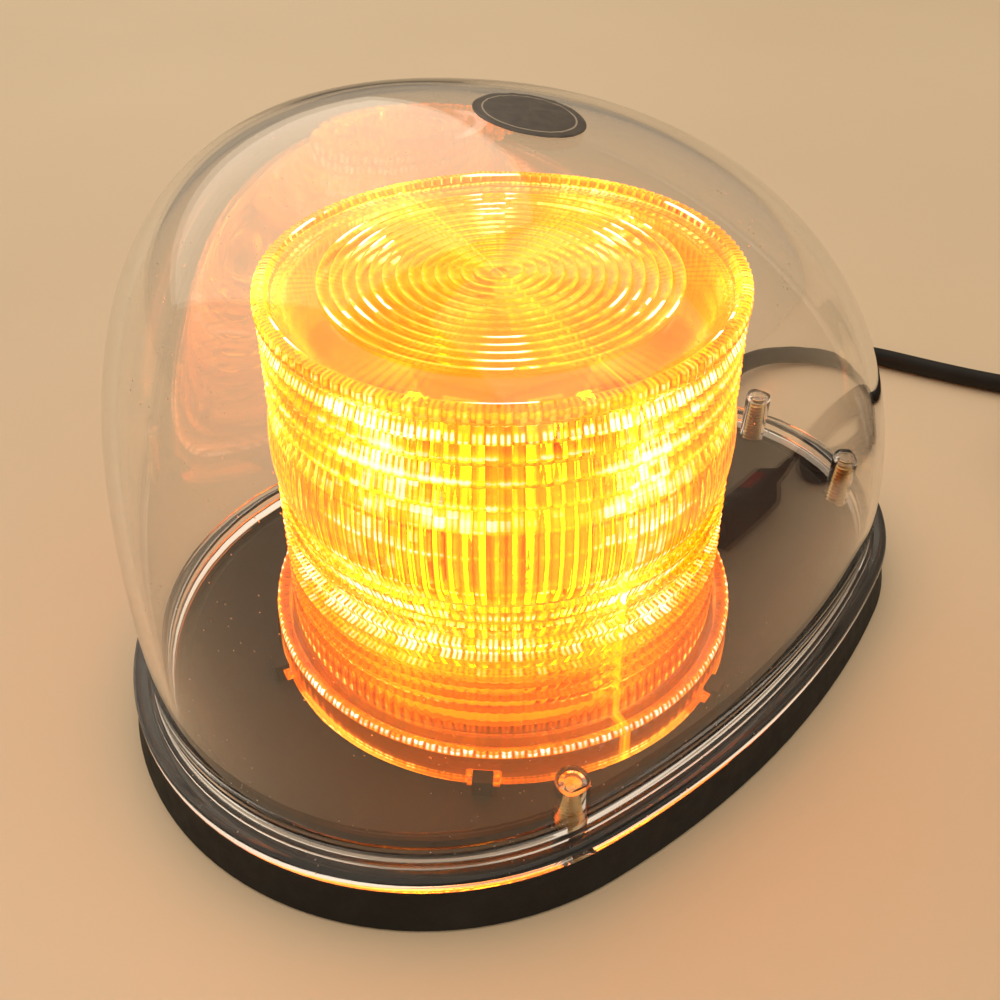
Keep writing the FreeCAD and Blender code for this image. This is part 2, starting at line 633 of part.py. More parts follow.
def led_strip():
    """A bar with its lamps standing out of it."""
    face = POST_FLATS / 2 + LED_BOARD_THICKNESS
    height = LED_PITCH * (LEDS_PER_STRIP - 1) + 2 * STRIP_MARGIN
    foot = V(0, face + STRIP_THICKNESS / 2, led_middle() - height / 2)
    strip = box((STRIP_WIDTH, STRIP_THICKNESS, height), foot)
    for i in range(LEDS_PER_STRIP):
        z = led_middle() + LED_PITCH * (i - (LEDS_PER_STRIP - 1) / 2)
        stem = STRIP_THICKNESS + LED_RADIUS / 2
        bulb = [(0, 0), (LED_RADIUS, 0), (LED_RADIUS, stem), (LED_CROWN_RADIUS, stem + LED_CROWN_HEIGHT),
                (0, stem + LED_CROWN_HEIGHT)]
        strip = strip.fuse(turned(bulb, V(0, face, z), V(0, 1, 0)))
    return strip


def capacitor(angle):
    p = V(0, LENS_Y, BOARD_TOP) + polar(COMPONENT_CIRCLE, angle)
    return rod(CAPACITOR_RADIUS, p, CAPACITOR_HEIGHT)


def choke():
    p = V(0, LENS_Y, BOARD_TOP) + polar(COMPONENT_CIRCLE, CHOKE_ANGLE)
    waist = tube(CHOKE_RADIUS, CHOKE_WAIST_RADIUS, p + UP * CHOKE_HEIGHT / 4, CHOKE_HEIGHT / 2)
    return rod(CHOKE_RADIUS, p, CHOKE_HEIGHT).cut(waist)


def regulator():
    return box(REGULATOR_SIZE, V(0, LENS_Y, BOARD_TOP) + polar(COMPONENT_CIRCLE, REGULATOR_ANGLE))


# ---------------------------------------------------------------- magnets
def magnet_cup(p):
    cup = rod(MAGNET_RADIUS, p + UP * MAGNET_BOTTOM, MAGNET_HEIGHT)
    cup = cup.cut(rod(MAGNET_SCREW_HEAD + NOTCH_GAP, p + UP * MAGNET_BOTTOM, MAGNET_SCREW_HEAD_HEIGHT))
    return cup.cut(rod(MAGNET_SCREW_RADIUS, p, MAGNET_TOP))


def magnet_pad(p):
    outer = rod(MAGNET_RADIUS + PAD_LIP, p, PAD_THICKNESS + PAD_LIP_HEIGHT)
    pad = outer.cut(rod(MAGNET_RADIUS, p + UP * PAD_THICKNESS, PAD_LIP_HEIGHT))
    return pad.cut(rod(MAGNET_SCREW_HEAD + NOTCH_GAP, p, PAD_THICKNESS))


def magnet_screw(p):
    head = rod(MAGNET_SCREW_HEAD, p + UP * MAGNET_BOTTOM, MAGNET_SCREW_HEAD_HEIGHT)
    start = MAGNET_BOTTOM + MAGNET_SCREW_HEAD_HEIGHT
    return head.fuse(rod(MAGNET_SCREW_RADIUS, p + UP * start, MAGNET_TOP + MAGNET_SCREW_GRIP - start))


# ---------------------------------------------------------------- lead
def grooved(foot_radius, tip_radius, length):
    """Side of a tapered strain relief from foot to tip, with a row of grooves."""
    def side(h):
        return foot_radius + (tip_radius - foot_radius) * h / length

    pitch = (length - 2 * BOOT_PLAIN) / BOOT_GROOVES
    points = [(side(0), 0)]
    for i in range(BOOT_GROOVES):
        low = BOOT_PLAIN + pitch * i
        high = low + pitch * BOOT_GROOVE_SHARE
        points += [(side(low), low), (side(low) - BOOT_GROOVE_DEPTH, low),
                   (side(high) - BOOT_GROOVE_DEPTH, high), (side(high), high)]
    return points + [(side(length), length)]


def cord_boot():
    """Tapered strain relief, with a neck that passes through the base wall."""
    along = boot_direction()
    profile = [(0, -BOOT_FOOT_RADIUS), (BOOT_FOOT_RADIUS, -BOOT_FOOT_RADIUS)]
    profile += grooved(BOOT_FOOT_RADIUS, BOOT_TIP_RADIUS, BOOT_LENGTH) + [(0, BOOT_LENGTH)]
    taper = turned(profile, inlet_point(), along, along.cross(UP)).cut(egg_block(BASE_INSET, 0, PLATFORM_TOP))
    neck_start = inlet_point() - along * BOOT_NECK_LENGTH
    return taper.fuse(rod(BOOT_NECK_RADIUS, neck_start, BOOT_NECK_LENGTH + BOOT_LENGTH / 2, along))


def cord_tube(name, points):
    """A round tube along straight runs joined by tangent arcs, with its radii printed."""
    corners = [V(*p) for p in points]
    edges, here, radii = [], corners[0], []
    for before, corner, after in zip(corners, corners[1:], corners[2:]):
        back, ahead = before - corner, after - corner
        reach = ARC_SHARE * min(back.Length, ahead.Length)
        turn = math.pi - back.getAngle(ahead)
        radius = reach / math.tan(turn / 2)
        first = corner + back.normalize() * reach
        last = corner + ahead.normalize() * reach
        bisector = (back + ahead).normalize()
        middle = corner + bisector * (radius / math.cos(turn / 2) - radius)
        edges += [Part.LineSegment(here, first).toShape(), Part.Arc(first, middle, last).toShape()]
        here = last
        radii.append(radius)
    edges.append(Part.LineSegment(here, corners[-1]).toShape())
    path = Part.Wire(edges)
    length = path.Length
    start = (corners[1] - corners[0]).normalize()
    section = Part.Wire(Part.makeCircle(CORD_RADIUS, corners[0], start))
    solid = path.makePipeShell([section], True, True)
    print(f"{name}: length {length:.1f}, radii", " ".join(f"{r:.0f}" for r in radii),
          f"volume share {solid.Volume / (math.pi * CORD_RADIUS**2 * length):.4f}")
    return solid


def boot_end():
    p = inlet_point() + boot_direction() * BOOT_LENGTH
    return (p.x, p.y, p.z)


def plug_start():
    return (PLUG_X, PLUG_Y, PLUG_AXIS_HEIGHT)


def cord_coil():
    """Outer form of the wound lead: a ring with bevelled edges."""
    inner = COIL_MIDDLE_RADIUS - COIL_HALF_WIDTH
    outer = COIL_MIDDLE_RADIUS + COIL_HALF_WIDTH
    ring = tube(outer, inner, V(COIL_X, COIL_Y, COIL_BOTTOM), COIL_TOP - COIL_BOTTOM)
    return ring.makeChamfer(COIL_BEVEL, ring.Edges[:])


def coil_tie():
    """Strap round the coil's turns."""
    middle = V(COIL_X, COIL_Y, 0) + polar(COIL_MIDDLE_RADIUS, TIE_ANGLE)
    inner = (2 * (COIL_HALF_WIDTH + TIE_GAP), TIE_WIDTH, COIL_TOP - COIL_BOTTOM + 2 * TIE_GAP)
    outer = (inner[0] + 2 * TIE_THICKNESS, TIE_WIDTH, inner[2] + 2 * TIE_THICKNESS)
    strap = box(outer, middle).cut(box(inner, middle + UP * TIE_THICKNESS))
    strap.rotate(middle, UP, TIE_ANGLE)
    return strap


# ---------------------------------------------------------------- cigar plug, built along +Y
def in_place(shape):
    """Move a plug piece from its own frame to where the plug lies."""
    placed = shape.copy()
    placed.rotate(V(0, 0, 0), UP, PLUG_HEADING - 90)
    placed.translate(V(PLUG_X, PLUG_Y, PLUG_AXIS_HEIGHT))
    return placed


def along_y(profile):
    return turned(profile, V(0, 0, 0), V(0, 1, 0))


def plug_boot():
    side = [(r, HANDLE_START - h) for r, h in grooved(PLUG_BOOT_FOOT, PLUG_BOOT_TIP, PLUG_BOOT_LENGTH)]
    return along_y([(0, HANDLE_START)] + side + [(0, 0)])


def switch_place():
    return V(0, HANDLE_START + SWITCH_AT, HANDLE_HEIGHT / 2)


def plug_shell():
    """Handle and barrel, hollow, with the openings for everything that sits in it."""
    shell = rounded_bar(HANDLE_WIDTH, HANDLE_HEIGHT, HANDLE_CORNER, HANDLE_START, HANDLE_LENGTH)
    shell = shell.fuse(rod(BARREL_RADIUS, V(0, BARREL_START, 0), BARREL_LENGTH, V(0, 1, 0)))
    walls = 2 * PLUG_WALL
    hollow = rounded_bar(HANDLE_WIDTH - walls, HANDLE_HEIGHT - walls, HANDLE_CORNER - PLUG_WALL,
                         HANDLE_START + PLUG_WALL, HANDLE_LENGTH - walls)
    bore = rod(BARREL_RADIUS - PLUG_WALL, V(0, BARREL_START - PLUG_WALL, 0), BARREL_LENGTH, V(0, 1, 0))
    mouth = rod(NUT_BORE, V(0, NUT_START - PLUG_WALL, 0), PLUG_WALL, V(0, 1, 0))
    shell = shell.cut(hollow).cut(bore).cut(mouth)
    window = (SWITCH_WIDTH + 2 * SWITCH_GAP, SWITCH_LENGTH + 2 * SWITCH_GAP, PLUG_WALL)
    shell = shell.cut(box(window, switch_place() - UP * PLUG_WALL))
    under = HANDLE_HEIGHT / 2 - PLUG_WALL
    shell = shell.cut(rod(BUTTON_RADIUS + BUTTON_GAP, V(0, HANDLE_START + BUTTON_AT, under), PLUG_WALL))
    shell = shell.cut(rod(LAMP_RADIUS, V(0, HANDLE_START + LAMP_AT, under), PLUG_WALL))
    slot = (2 * PLUG_WALL, CONTACT_LENGTH + 2 * CONTACT_SLOT_GAP, CONTACT_WIDTH + 2 * CONTACT_SLOT_GAP)
    for side in (-1, 1):
        shell = shell.cut(box(slot, V(side * BARREL_RADIUS, contact_middle(), -slot[2] / 2)))
    return shell


def contact_middle():
    return BARREL_START + BARREL_LENGTH / 2


def shell_half(sign):
    """Upper (+1) or lower (-1) half of the plug's shell."""
    big = 4 * HANDLE_LENGTH
    keep = Part.makeBox(big, big, big, V(-big / 2, 0, 0 if sign > 0 else -big))
    return plug_shell().common(keep)


def plug_nut():
    """Round end cap that screws on to the barrel and holds the centre contact."""
    shoulder, front = NUT_START + NUT_LENGTH * NUT_TAPER, NUT_START + NUT_LENGTH
    nut = along_y([(NUT_BORE, NUT_START), (NUT_RADIUS, NUT_START), (NUT_RADIUS, shoulder),
                   (NUT_RADIUS * NUT_TAPER, front), (NUT_BORE, front)])
    for i in range(NUT_NOTCHES):
        p = polar(NUT_RADIUS, 360 / NUT_NOTCHES * i)
        nut = nut.cut(rod(NUT_NOTCH_RADIUS, V(p.x, NUT_START, p.y), NUT_LENGTH, V(0, 1, 0)))
    return nut


def plug_tip():
    """Sprung centre contact, with a round end and a shoulder inside the barrel."""
    end = NUT_START + NUT_LENGTH + TIP_OUT
    back = NUT_START - PLUG_WALL - TIP_GAP - TIP_HEAD_LENGTH
    pin = rod(TIP_RADIUS, V(0, back, 0), end - TIP_RADIUS - back, V(0, 1, 0))
    ball = Part.makeSphere(TIP_RADIUS, V(0, end - TIP_RADIUS, 0))
    head = rod(TIP_HEAD_RADIUS, V(0, back, 0), TIP_HEAD_LENGTH, V(0, 1, 0))
    return pin.fuse(ball).fuse(head)


def side_contact(side):
    """Sprung side contact: a bowed blade that stands out of the barrel."""
    low = BARREL_RADIUS - PLUG_WALL / 2
    under = -CONTACT_WIDTH / 2
    rear = V(low, contact_middle() - CONTACT_LENGTH / 2, under)
    front = V(low, contact_middle() + CONTACT_LENGTH / 2, under)
    crest = V(BARREL_RADIUS + CONTACT_OUT, contact_middle(), under)
    outline = Part.Wire([Part.Arc(rear, crest, front).toShape(), Part.LineSegment(front, rear).toShape()])
    blade = Part.Face(outline).extrude(UP * CONTACT_WIDTH)
    return blade if side > 0 else blade.mirror(V(0, 0, 0), V(1, 0, 0))


def plug_switch():
    """Rocker with ends that are round about its own pivot, pressed down at the front."""
    half = SWITCH_LENGTH / 2
    pivot = switch_place() - UP * PLUG_WALL / 2
    drum = Part.makeCylinder(half, SWITCH_WIDTH, pivot - V(SWITCH_WIDTH / 2, 0, 0), V(1, 0, 0))
    rise = half * math.tan(math.radians(SWITCH_TILT))
    flat = PLUG_WALL / 2
    section = [V(0, -2 * half, flat + 2 * rise), V(0, 0, flat), V(0, 2 * half, flat + 2 * rise),
               V(0, 2 * half, -SWITCH_DEPTH / 2), V(0, -2 * half, -SWITCH_DEPTH / 2)]
    section = [pivot - V(SWITCH_WIDTH / 2, 0, 0) + p for p in section]
    wedge = Part.Face(Part.makePolygon(section + section[:1])).extrude(V(SWITCH_WIDTH, 0, 0))
    rocker = drum.common(wedge)
    rocker.rotate(pivot, V(1, 0, 0), -SWITCH_TILT)
    return rocker


def plug_button():
    top = HANDLE_HEIGHT / 2
    y = HANDLE_START + BUTTON_AT
    under = top - PLUG_WALL - BUTTON_GAP
    cap = rod(BUTTON_RADIUS, V(0, y, under), top + BUTTON_OUT - under)
    return cap.fuse(rod(BUTTON_RADIUS + BUTTON_FLANGE, V(0, y, under - BUTTON_FLANGE), BUTTON_FLANGE))


def plug_lamp():
    top = HANDLE_HEIGHT / 2
    return rod(LAMP_RADIUS, V(0, HANDLE_START + LAMP_AT, top - PLUG_WALL), PLUG_WALL + LAMP_OUT)


# ---------------------------------------------------------------- all nodes
def main():
    os.makedirs("parts", exist_ok=True)
    save("base_tray", base_tray())
    save("bottom_cover", bottom_cover())
    save("skirt", skirt())
    save("dome_gasket", dome_gasket())
    save("dome", dome())
    save("sticker", sticker())
    save("lens", lens())
    save("lens_seal", lens_seal())
    for i, p in enumerate(dome_boss_places(), 1):
        save(f"dome_screw_{i}", dome_screw(p))
    for i, p in enumerate(magnet_places(), 1):
        save(f"magnet_cup_{i}", magnet_cup(p))
        save(f"magnet_pad_{i}", magnet_pad(p))
        save(f"magnet_screw_{i}", magnet_screw(p))
    save("main_board", main_board())
    for i, p in enumerate(standoff_places(), 1):
        save(f"board_screw_{i}", board_screw(p))
    save("led_post", led_post())
    save("post_cap", post_cap())
    for i in range(FACES):
        save(f"led_board_{i + 1}", on_face(led_board(), i))
        save(f"led_strip_{i + 1}", on_face(led_strip(), i))
    for i, angle in enumerate(CAPACITOR_ANGLES, 1):
        save(f"capacitor_{i}", capacitor(angle))
    save("choke", choke())
    save("regulator", regulator())
    save("cord_boot", cord_boot())
    save("cord_lead", cord_tube("cord_lead", [boot_end()] + LEAD_POINTS))
    save("cord_coil", cord_coil())
    save("coil_tie", coil_tie())
    save("cord_tail", cord_tube("cord_tail", TAIL_POINTS + [plug_start()]))
    save("plug_boot", in_place(plug_boot()))
    save("plug_shell_top", in_place(shell_half(1)))
    save("plug_shell_bottom", in_place(shell_half(-1)))
    save("plug_nut", in_place(plug_nut()))
    save("plug_tip", in_place(plug_tip()))
    save("plug_contact_1", in_place(side_contact(1)))
    save("plug_contact_2", in_place(side_contact(-1)))
    save("plug_switch", in_place(plug_switch()))
    save("plug_button", in_place(plug_button()))
    save("plug_lamp", in_place(plug_lamp()))


main()
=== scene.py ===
import json
import math

import bpy
from mathutils import Matrix, Vector


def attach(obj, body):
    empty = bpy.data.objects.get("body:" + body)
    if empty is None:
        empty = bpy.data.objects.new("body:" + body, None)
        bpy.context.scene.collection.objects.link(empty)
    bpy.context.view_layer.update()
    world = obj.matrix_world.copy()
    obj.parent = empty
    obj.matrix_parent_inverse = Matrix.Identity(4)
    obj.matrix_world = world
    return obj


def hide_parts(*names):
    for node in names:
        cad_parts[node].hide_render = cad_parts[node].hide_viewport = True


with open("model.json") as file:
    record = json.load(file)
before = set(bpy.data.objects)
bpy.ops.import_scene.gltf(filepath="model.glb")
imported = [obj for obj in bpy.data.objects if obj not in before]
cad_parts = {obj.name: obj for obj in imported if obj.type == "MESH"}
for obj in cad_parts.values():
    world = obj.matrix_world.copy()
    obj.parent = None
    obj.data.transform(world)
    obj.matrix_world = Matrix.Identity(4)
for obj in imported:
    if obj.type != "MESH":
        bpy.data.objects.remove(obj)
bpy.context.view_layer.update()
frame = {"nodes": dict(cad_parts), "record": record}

MM = 0.001

# ---------------------------------------------------------------- sizes shared with the CAD, in millimetres
NOSE_RADIUS, TAIL_RADIUS, ARC_SPACING = 67.0, 48.5, 73.5
NOSE_Y = NOSE_RADIUS - (NOSE_RADIUS + ARC_SPACING + TAIL_RADIUS) / 2
TAIL_Y = NOSE_Y + ARC_SPACING
LENS_Y = NOSE_Y + 17.1
APEX_Y = NOSE_Y + 2.0
DOME_BOTTOM, DOME_HEIGHT, DOME_WALL, FLANGE_WIDTH = 10.5, 118.0, 2.5, 4.5
NOSE_POWER, TAIL_POWER, SIDE_POWER, WIDEST_SHARE = 3.1, 2.0, 2.9, 0.48
BOSS_INSET, BOSS_TOP = 9.45, 14.6
NOSE_BOSS_ANGLES, TAIL_BOSS_ANGLES = (-3.8, 183.8), (66, 114)
SCREW_RADIUS, THREAD_RADIUS, THREAD_PITCH = 1.7, 2.15, 1.05
LENS_FOOT, LENS_HEIGHT, LENS_WALL = 10.5, 86.0, 2.9
COLLAR_TOP, DRUM_FOOT_RADIUS, DRUM_TOP_RADIUS = 9.8, 46.9, 45.0
BAND_BOTTOM, BAND_HEIGHT, BAND_BULGE = 47.9, 13.2, 0.6
DISC_LEVEL, DISC_RADIUS, DISC_RINGS = 85.0, 33.7, 13
LUG_COUNT, FIRST_LUG_ANGLE, LUG_REACH, LUG_HALF_WIDTH = 6, -36, 53.0, 3.5
POST_SIDES, FIRST_FACE_ANGLE, BOARD_FACE = 6, 30, 17.2
STRIP_MIDDLE, LAMP_SPACING, LAMPS_PER_STRIP = 46.6, 12.5, 4
CORD_RADIUS = 2.75
COIL_CENTRE, COIL_START_ANGLE = (62.0, 176.0), 140
COIL_RADII = (38.5, 33.0, 27.5, 22.0)
COIL_LEVELS = (3.55, 9.05)
BOOT_END = (-46.53, 99.63, 5.3)
PLUG_START = (104.6, 151.6, 11.5)

# ---------------------------------------------------------------- fine detail of the lens, only in this scene
FLUTES, POINTS_PER_FLUTE = 128, 4
PRISM_FLUTE, BAND_FLUTE, BEAD = 0.12, 0.14, 0.25
SEAM, SEAM_HALF_ANGLE, SEAM_HEIGHT = math.radians(-3.5), 0.011, 0.25
COLLAR_EDGE = 51.2                  # the collar's outermost face doesn't glow
BETWEEN_WALLS = (-0.0249, 45.35)    # a radius between the two faces of the wall: slope, and value at the foot
WALL_ROUGHNESS, FROSTED_FROM = 0.04, (81.8, 82.3)
# how strongly the lens's painted glow (emission standing in for the lamps' light) shows at each level: height, then all
# round, beside a lamp, contrast of the flutes
GLOW_LOW = [(0, .15, .2, .3), (.45, .35, 1.0, .5), (.9, .05, 0, 0), (8.1, .03, 0, 0), (8.5, .9, .1, .6),
            (9.6, 1.1, .1, .6), (9.75, .1, 0, 0), (10.6, .08, 0, .2), (11.4, .2, 0, .5), (12.4, .32, 0, .7),
            (13.4, .2, 0, .4), (14.2, .12, .03, .5), (15.2, .16, .05, .3), (16.0, .28, 0, .4), (17.0, .2, 0, .3),
            (18.2, .09, 0, .6), (19.3, .2, 0, .3), (20.2, .3, 0, .5), (21.3, .2, 0, .4), (22.6, .09, 0, .6),
            (23.8, .2, 0, .3), (25.0, .28, .05, .4), (26.4, .3, .05, .3), (27.1, .65, .1, .5), (28.2, .3, .1, .3),
            (29.5, .28, .1, .3)]
GLOW_MIDDLE = [(29.5, .28, .1, .3), (30.7, .35, .1, .2), (31.0, .8, .3, .7), (31.7, 1.1, .4, .8), (32.4, .7, .3, .6),
               (33.0, .4, .1, .3), (33.8, .8, .3, .7), (34.6, 1.1, .4, .8), (35.2, .7, .2, .6), (35.7, .4, .1, .3),
               (36.4, .35, .1, .3), (37.4, .6, .4, .6), (38.4, .5, .2, .5), (39.05, .18, .1, .1), (39.6, .5, .4, .5),
               (40.8, .8, .9, .8), (42.0, .6, .7, .7), (43.2, .3, .2, .2), (44.2, .55, .3, .4), (45.6, .42, .3, .3),
               (46.6, .4, .3, .3), (47.5, .8, .3, .6), (48.4, .4, .2, .3), (49.6, .5, .2, .3), (50.6, .3, .4, .5),
               (53.0, .26, .6, .6), (55.4, .22, .5, .5), (56.3, .55, .9, .7), (57.2, .2, 1.1, .7)]
GLOW_HIGH = [(57.2, .2, 1.1, .7), (60.4, .22, .9, .6), (60.9, .12, .2, .1), (61.4, .6, .3, .2), (63.0, .75, .5, .3),
             (64.8, .6, .3, .2), (65.5, .12, .2, .5), (66.1, .5, .3, .3), (66.8, .8, .3, .2), (67.6, .45, .5, .4),
             (69.9, .4, .5, .3), (70.5, .1, .1, .1), (71.0, .35, .3, .2), (71.8, .85, .3, .1), (72.5, .4, .7, .4),
             (73.8, .28, .9, .6), (74.9, .12, .9, .6), (75.8, .3, .4, .3), (76.5, .75, .3, .1), (77.2, .45, .4, .2),
             (78.2, .12, .9, .6), (79.2, .4, .6, .5), (80.0, 1.0, .6, .7), (80.9, 1.1, .6, .7), (81.6, .35, .6, .4),
             (83.0, .24, .7, .6), (84.2, .3, .2, .4), (84.8, .7, .1, .8), (86.0, .6, .1, .8)]


# ---------------------------------------------------------------- camera
def aim_camera():
    heading = Vector((-0.850, 0.527, 0)).normalized()
    pitch, roll = 0.702, -0.006
    forward = heading * math.cos(pitch) - Vector((0, 0, math.sin(pitch)))
    right = forward.cross(Vector((0, 0, 1))).normalized()
    above = right.cross(forward)
    turn = Matrix((right, above, -forward)).transposed() @ Matrix.Rotation(roll, 3, "Z")
    data = bpy.data.cameras.new("camera")
    data.lens, data.sensor_width = 39.6, 36.0
    data.clip_start, data.clip_end = 0.01, 20
    camera = bpy.data.objects.new("camera", data)
    camera.matrix_world = Matrix.Translation((0.1551, -0.1066, 0.1948)) @ turn.to_4x4()
    bpy.context.collection.objects.link(camera)
    bpy.context.scene.camera = camera


aim_camera()


# ---------------------------------------------------------------- nodes and materials
class Shade:
    """A node material with a Principled shader, built up step by step."""

    def __init__(self, name, color, roughness, metallic=0.0, **sockets):
        self.mat = bpy.data.materials.new(name)
        self.mat.use_nodes = True
        self.tree = self.mat.node_tree
        self.bsdf = self.tree.nodes["Principled BSDF"]
        self.out = self.tree.nodes["Material Output"]
        self.set(**{"Base Color": (*color, 1), "Roughness": roughness, "Metallic": metallic})
        self.set(**sockets)
        self.place = self.node("ShaderNodeTexCoord").outputs["Object"]

    def set(self, **sockets):
        for key, value in sockets.items():
            self.bsdf.inputs[key.replace("_", " ")].default_value = value

    def node(self, kind, links=None, **values):
        n = self.tree.nodes.new(kind)
        for key, value in values.items():
            setattr(n, key, value)
        for key, value in (links or {}).items():
            if isinstance(value, bpy.types.NodeSocket):
                self.tree.links.new(value, n.inputs[key])
            else:
                n.inputs[key].default_value = value
        return n

    def link(self, a, b):
        self.tree.links.new(a, b)

    def math(self, operation, a, b=0.0, c=0.0):
        return self.node("ShaderNodeMath", {0: a, 1: b, 2: c}, operation=operation).outputs[0]

    def noise(self, scale, detail=3.0, roughness=0.55, stretch=(1, 1, 1)):
        mapping = self.node("ShaderNodeMapping", {"Vector": self.place, "Scale": stretch})
        return self.node("ShaderNodeTexNoise", {"Vector": mapping.outputs[0], "Scale": scale, "Detail": detail,
                                                "Roughness": roughness}).outputs["Fac"]

    def cells(self, scale):
        return self.node("ShaderNodeTexVoronoi", {"Vector": self.place, "Scale": scale}).outputs["Distance"]

    def ramp(self, value, stops):
        n = self.node("ShaderNodeValToRGB", {"Fac": value})
        ramp = n.color_ramp
        ramp.elements[0].position, ramp.elements[0].color = stops[0][0], (*stops[0][1], 1)
        ramp.elements[1].position, ramp.elements[1].color = stops[-1][0], (*stops[-1][1], 1)
        for at, color in stops[1:-1]:
            ramp.elements.new(at).color = (*color, 1)
        return n.outputs["Color"]

    def spread(self, value, low, high, to_low, to_high):
        return self.node("ShaderNodeMapRange", {"Value": value, "From Min": low, "From Max": high,
                                                "To Min": to_low, "To Max": to_high}).outputs["Result"]

    def color(self, value, stops):
        self.link(self.ramp(value, stops), self.bsdf.inputs["Base Color"])
        return self

    def rough(self, value, low, high):
        self.link(self.spread(value, 0.3, 0.7, low, high), self.bsdf.inputs["Roughness"])
        return self

    def bump(self, value, strength, distance):
        previous = self.bsdf.inputs["Normal"].links
        links = {"Height": value, "Strength": strength, "Distance": distance}
        if previous:
            links["Normal"] = previous[0].from_socket
        self.link(self.node("ShaderNodeBump", links).outputs[0], self.bsdf.inputs["Normal"])
        return self

    def by_level(self, height, table):
        """The three values of the glow table at each height, as a colour."""
        low, high = table[0][0], table[-1][0]
        return self.ramp(self.spread(height, low, high, 0.0, 1.0),
                         [((h - low) / (high - low), values) for h, *values in table])

    def pick(self, test, off, on):
        return self.node("ShaderNodeMix", {0: test, 2: off, 3: on}).outputs[0]

    def painted_lens_glow(self):
        """Painted glow: emission that stands in for the light the flutes and prisms pick up from the lamps inside;
        heights are above the lens's foot.
        """
        at = self.node("ShaderNodeSeparateXYZ", {0: self.place}).outputs
        x = self.math("MULTIPLY", at[0], 1000.0)
        y = self.math("MULTIPLY_ADD", at[1], 1000.0, -LENS_Y)
        height = self.math("MULTIPLY_ADD", at[2], 1000.0, -LENS_FOOT)
        out = self.math("POWER", self.math("ADD", self.math("MULTIPLY", x, x), self.math("MULTIPLY", y, y)), 0.5)
        angle = self.math("ARCTAN2", y, x)
        levels = self.by_level(height, GLOW_LOW)
        for table in (GLOW_MIDDLE, GLOW_HIGH):
            above = self.math("GREATER_THAN", height, table[0][0])
            levels = self.node("ShaderNodeMixRGB", {0: above, 1: levels, 2: self.by_level(height, table)}).outputs[0]
        everywhere, near_lamp, contrast = self.node("ShaderNodeSeparateColor", {0: levels}).outputs[:3]
        # 1 in front of each face of the post, 0 between two faces
        facing = self.math("COSINE", self.math("MULTIPLY", angle, float(POST_SIDES)))
        facing = self.math("POWER", self.math("MULTIPLY_ADD", facing, 0.5, 0.5), 2.2)
        # painted shade as dark lines in the flutes, and a random strength of the painted glow for each small cell
        # between them
        turn = self.math("MULTIPLY_ADD", angle, FLUTES / (2 * math.pi), 0.5)
        groove = self.spread(self.math("PINGPONG", turn, 0.5), 0.1, 0.22, 1.0, 0.0)
        fine = self.spread(self.math("PINGPONG", self.math("MULTIPLY", turn, 2.0), 0.5), 0.1, 0.3, 1.0, 0.0)
        cell = self.node("ShaderNodeCombineXYZ", {0: self.math("FLOOR", turn),
                                                  1: self.math("FLOOR", self.math("MULTIPLY", height, 0.55))})
        chance = self.node("ShaderNodeTexWhiteNoise", {"Vector": cell.outputs[0]}, noise_dimensions="3D").outputs[0]
        patch = self.spread(self.noise(60, 3, 0.6), 0.35, 0.65, 0.75, 1.25)
        patch = self.math("MULTIPLY", patch, self.spread(chance, 0.0, 1.0, 0.72, 1.28))
        # painted glow of the outer wall, and a painted bright line along the mould's seam
        wall = self.math("MULTIPLY", self.math("MULTIPLY_ADD", near_lamp, facing, everywhere), patch)
        dark = self.math("MULTIPLY", contrast, self.math("MULTIPLY_ADD", groove, 0.5, self.math("MULTIPLY", fine, 0.7)))
        wall = self.math("MULTIPLY", wall, self.math("MAXIMUM", self.math("SUBTRACT", 1.0, dark), 0.05))
        seam = self.math("ABSOLUTE", self.math("ADD", self.math("MULTIPLY", x, -math.sin(SEAM)),
                                               self.math("MULTIPLY", y, math.cos(SEAM))))
        wall = self.math("MULTIPLY", wall, self.math("LESS_THAN", out, COLLAR_EDGE))
        wall = self.math("MAXIMUM", wall, self.spread(seam, 0.6, 1.0, 0.62, 0.0))
        # painted glow on the disc on top: its rings' crests, and painted glints on the outer rings between two faces
        ridge = self.spread(height, 85.45, 85.9, 0.1, 0.52)
        crest, outer_ring = self.spread(height, 85.7, 85.9, 0.0, 1.1), self.spread(out, 21.5, 23.0, 0.0, 1.0)
        glint = self.math("MULTIPLY", crest, outer_ring)
        glint = self.math("MULTIPLY", glint, self.math("POWER", self.math("SUBTRACT", 1.0, facing), 40.0))
        glint = self.math("MULTIPLY", glint, self.math("GREATER_THAN", self.cells(160), 0.35))
        top = self.math("ADD", self.math("MULTIPLY", ridge, patch), glint)
        # a painted bright line where the seam crosses the disc
        top = self.math("MAXIMUM", top, self.spread(seam, 0.15, 0.4, 0.55, 0.0))
        # faint painted glow of the inner wall, and the choice between the three
        inner = self.spread(groove, 0.0, 1.0, 1.3, 0.3)
        inner = self.math("MULTIPLY", self.math("MULTIPLY_ADD", facing, 0.3, 0.05), inner)
        outside = self.math("GREATER_THAN", out, self.math("MULTIPLY_ADD", height, *BETWEEN_WALLS))
        glow = self.pick(self.math("GREATER_THAN", height, DISC_LEVEL - 0.05), inner, top)
        glow = self.pick(outside, glow, wall)
        # colour of the painted glow: deep orange where it is faint, amber and then white where it is strong
        light = self.node("ShaderNodeCombineColor", {
            0: self.math("MULTIPLY_ADD", glow, 2.1, 0.1),
            1: self.math("MULTIPLY_ADD", self.math("POWER", glow, 1.9), 0.85, 0.025),
            2: self.math("MULTIPLY", self.math("MAXIMUM", self.math("SUBTRACT", glow, 0.7), 0.0), 2.0)}).outputs[0]
        self.link(light, self.bsdf.inputs["Emission Color"])
        self.link(self.spread(height, *FROSTED_FROM, WALL_ROUGHNESS, 0.1), self.bsdf.inputs["Roughness"])
        self.set(Emission_Strength=1.0)
        return self

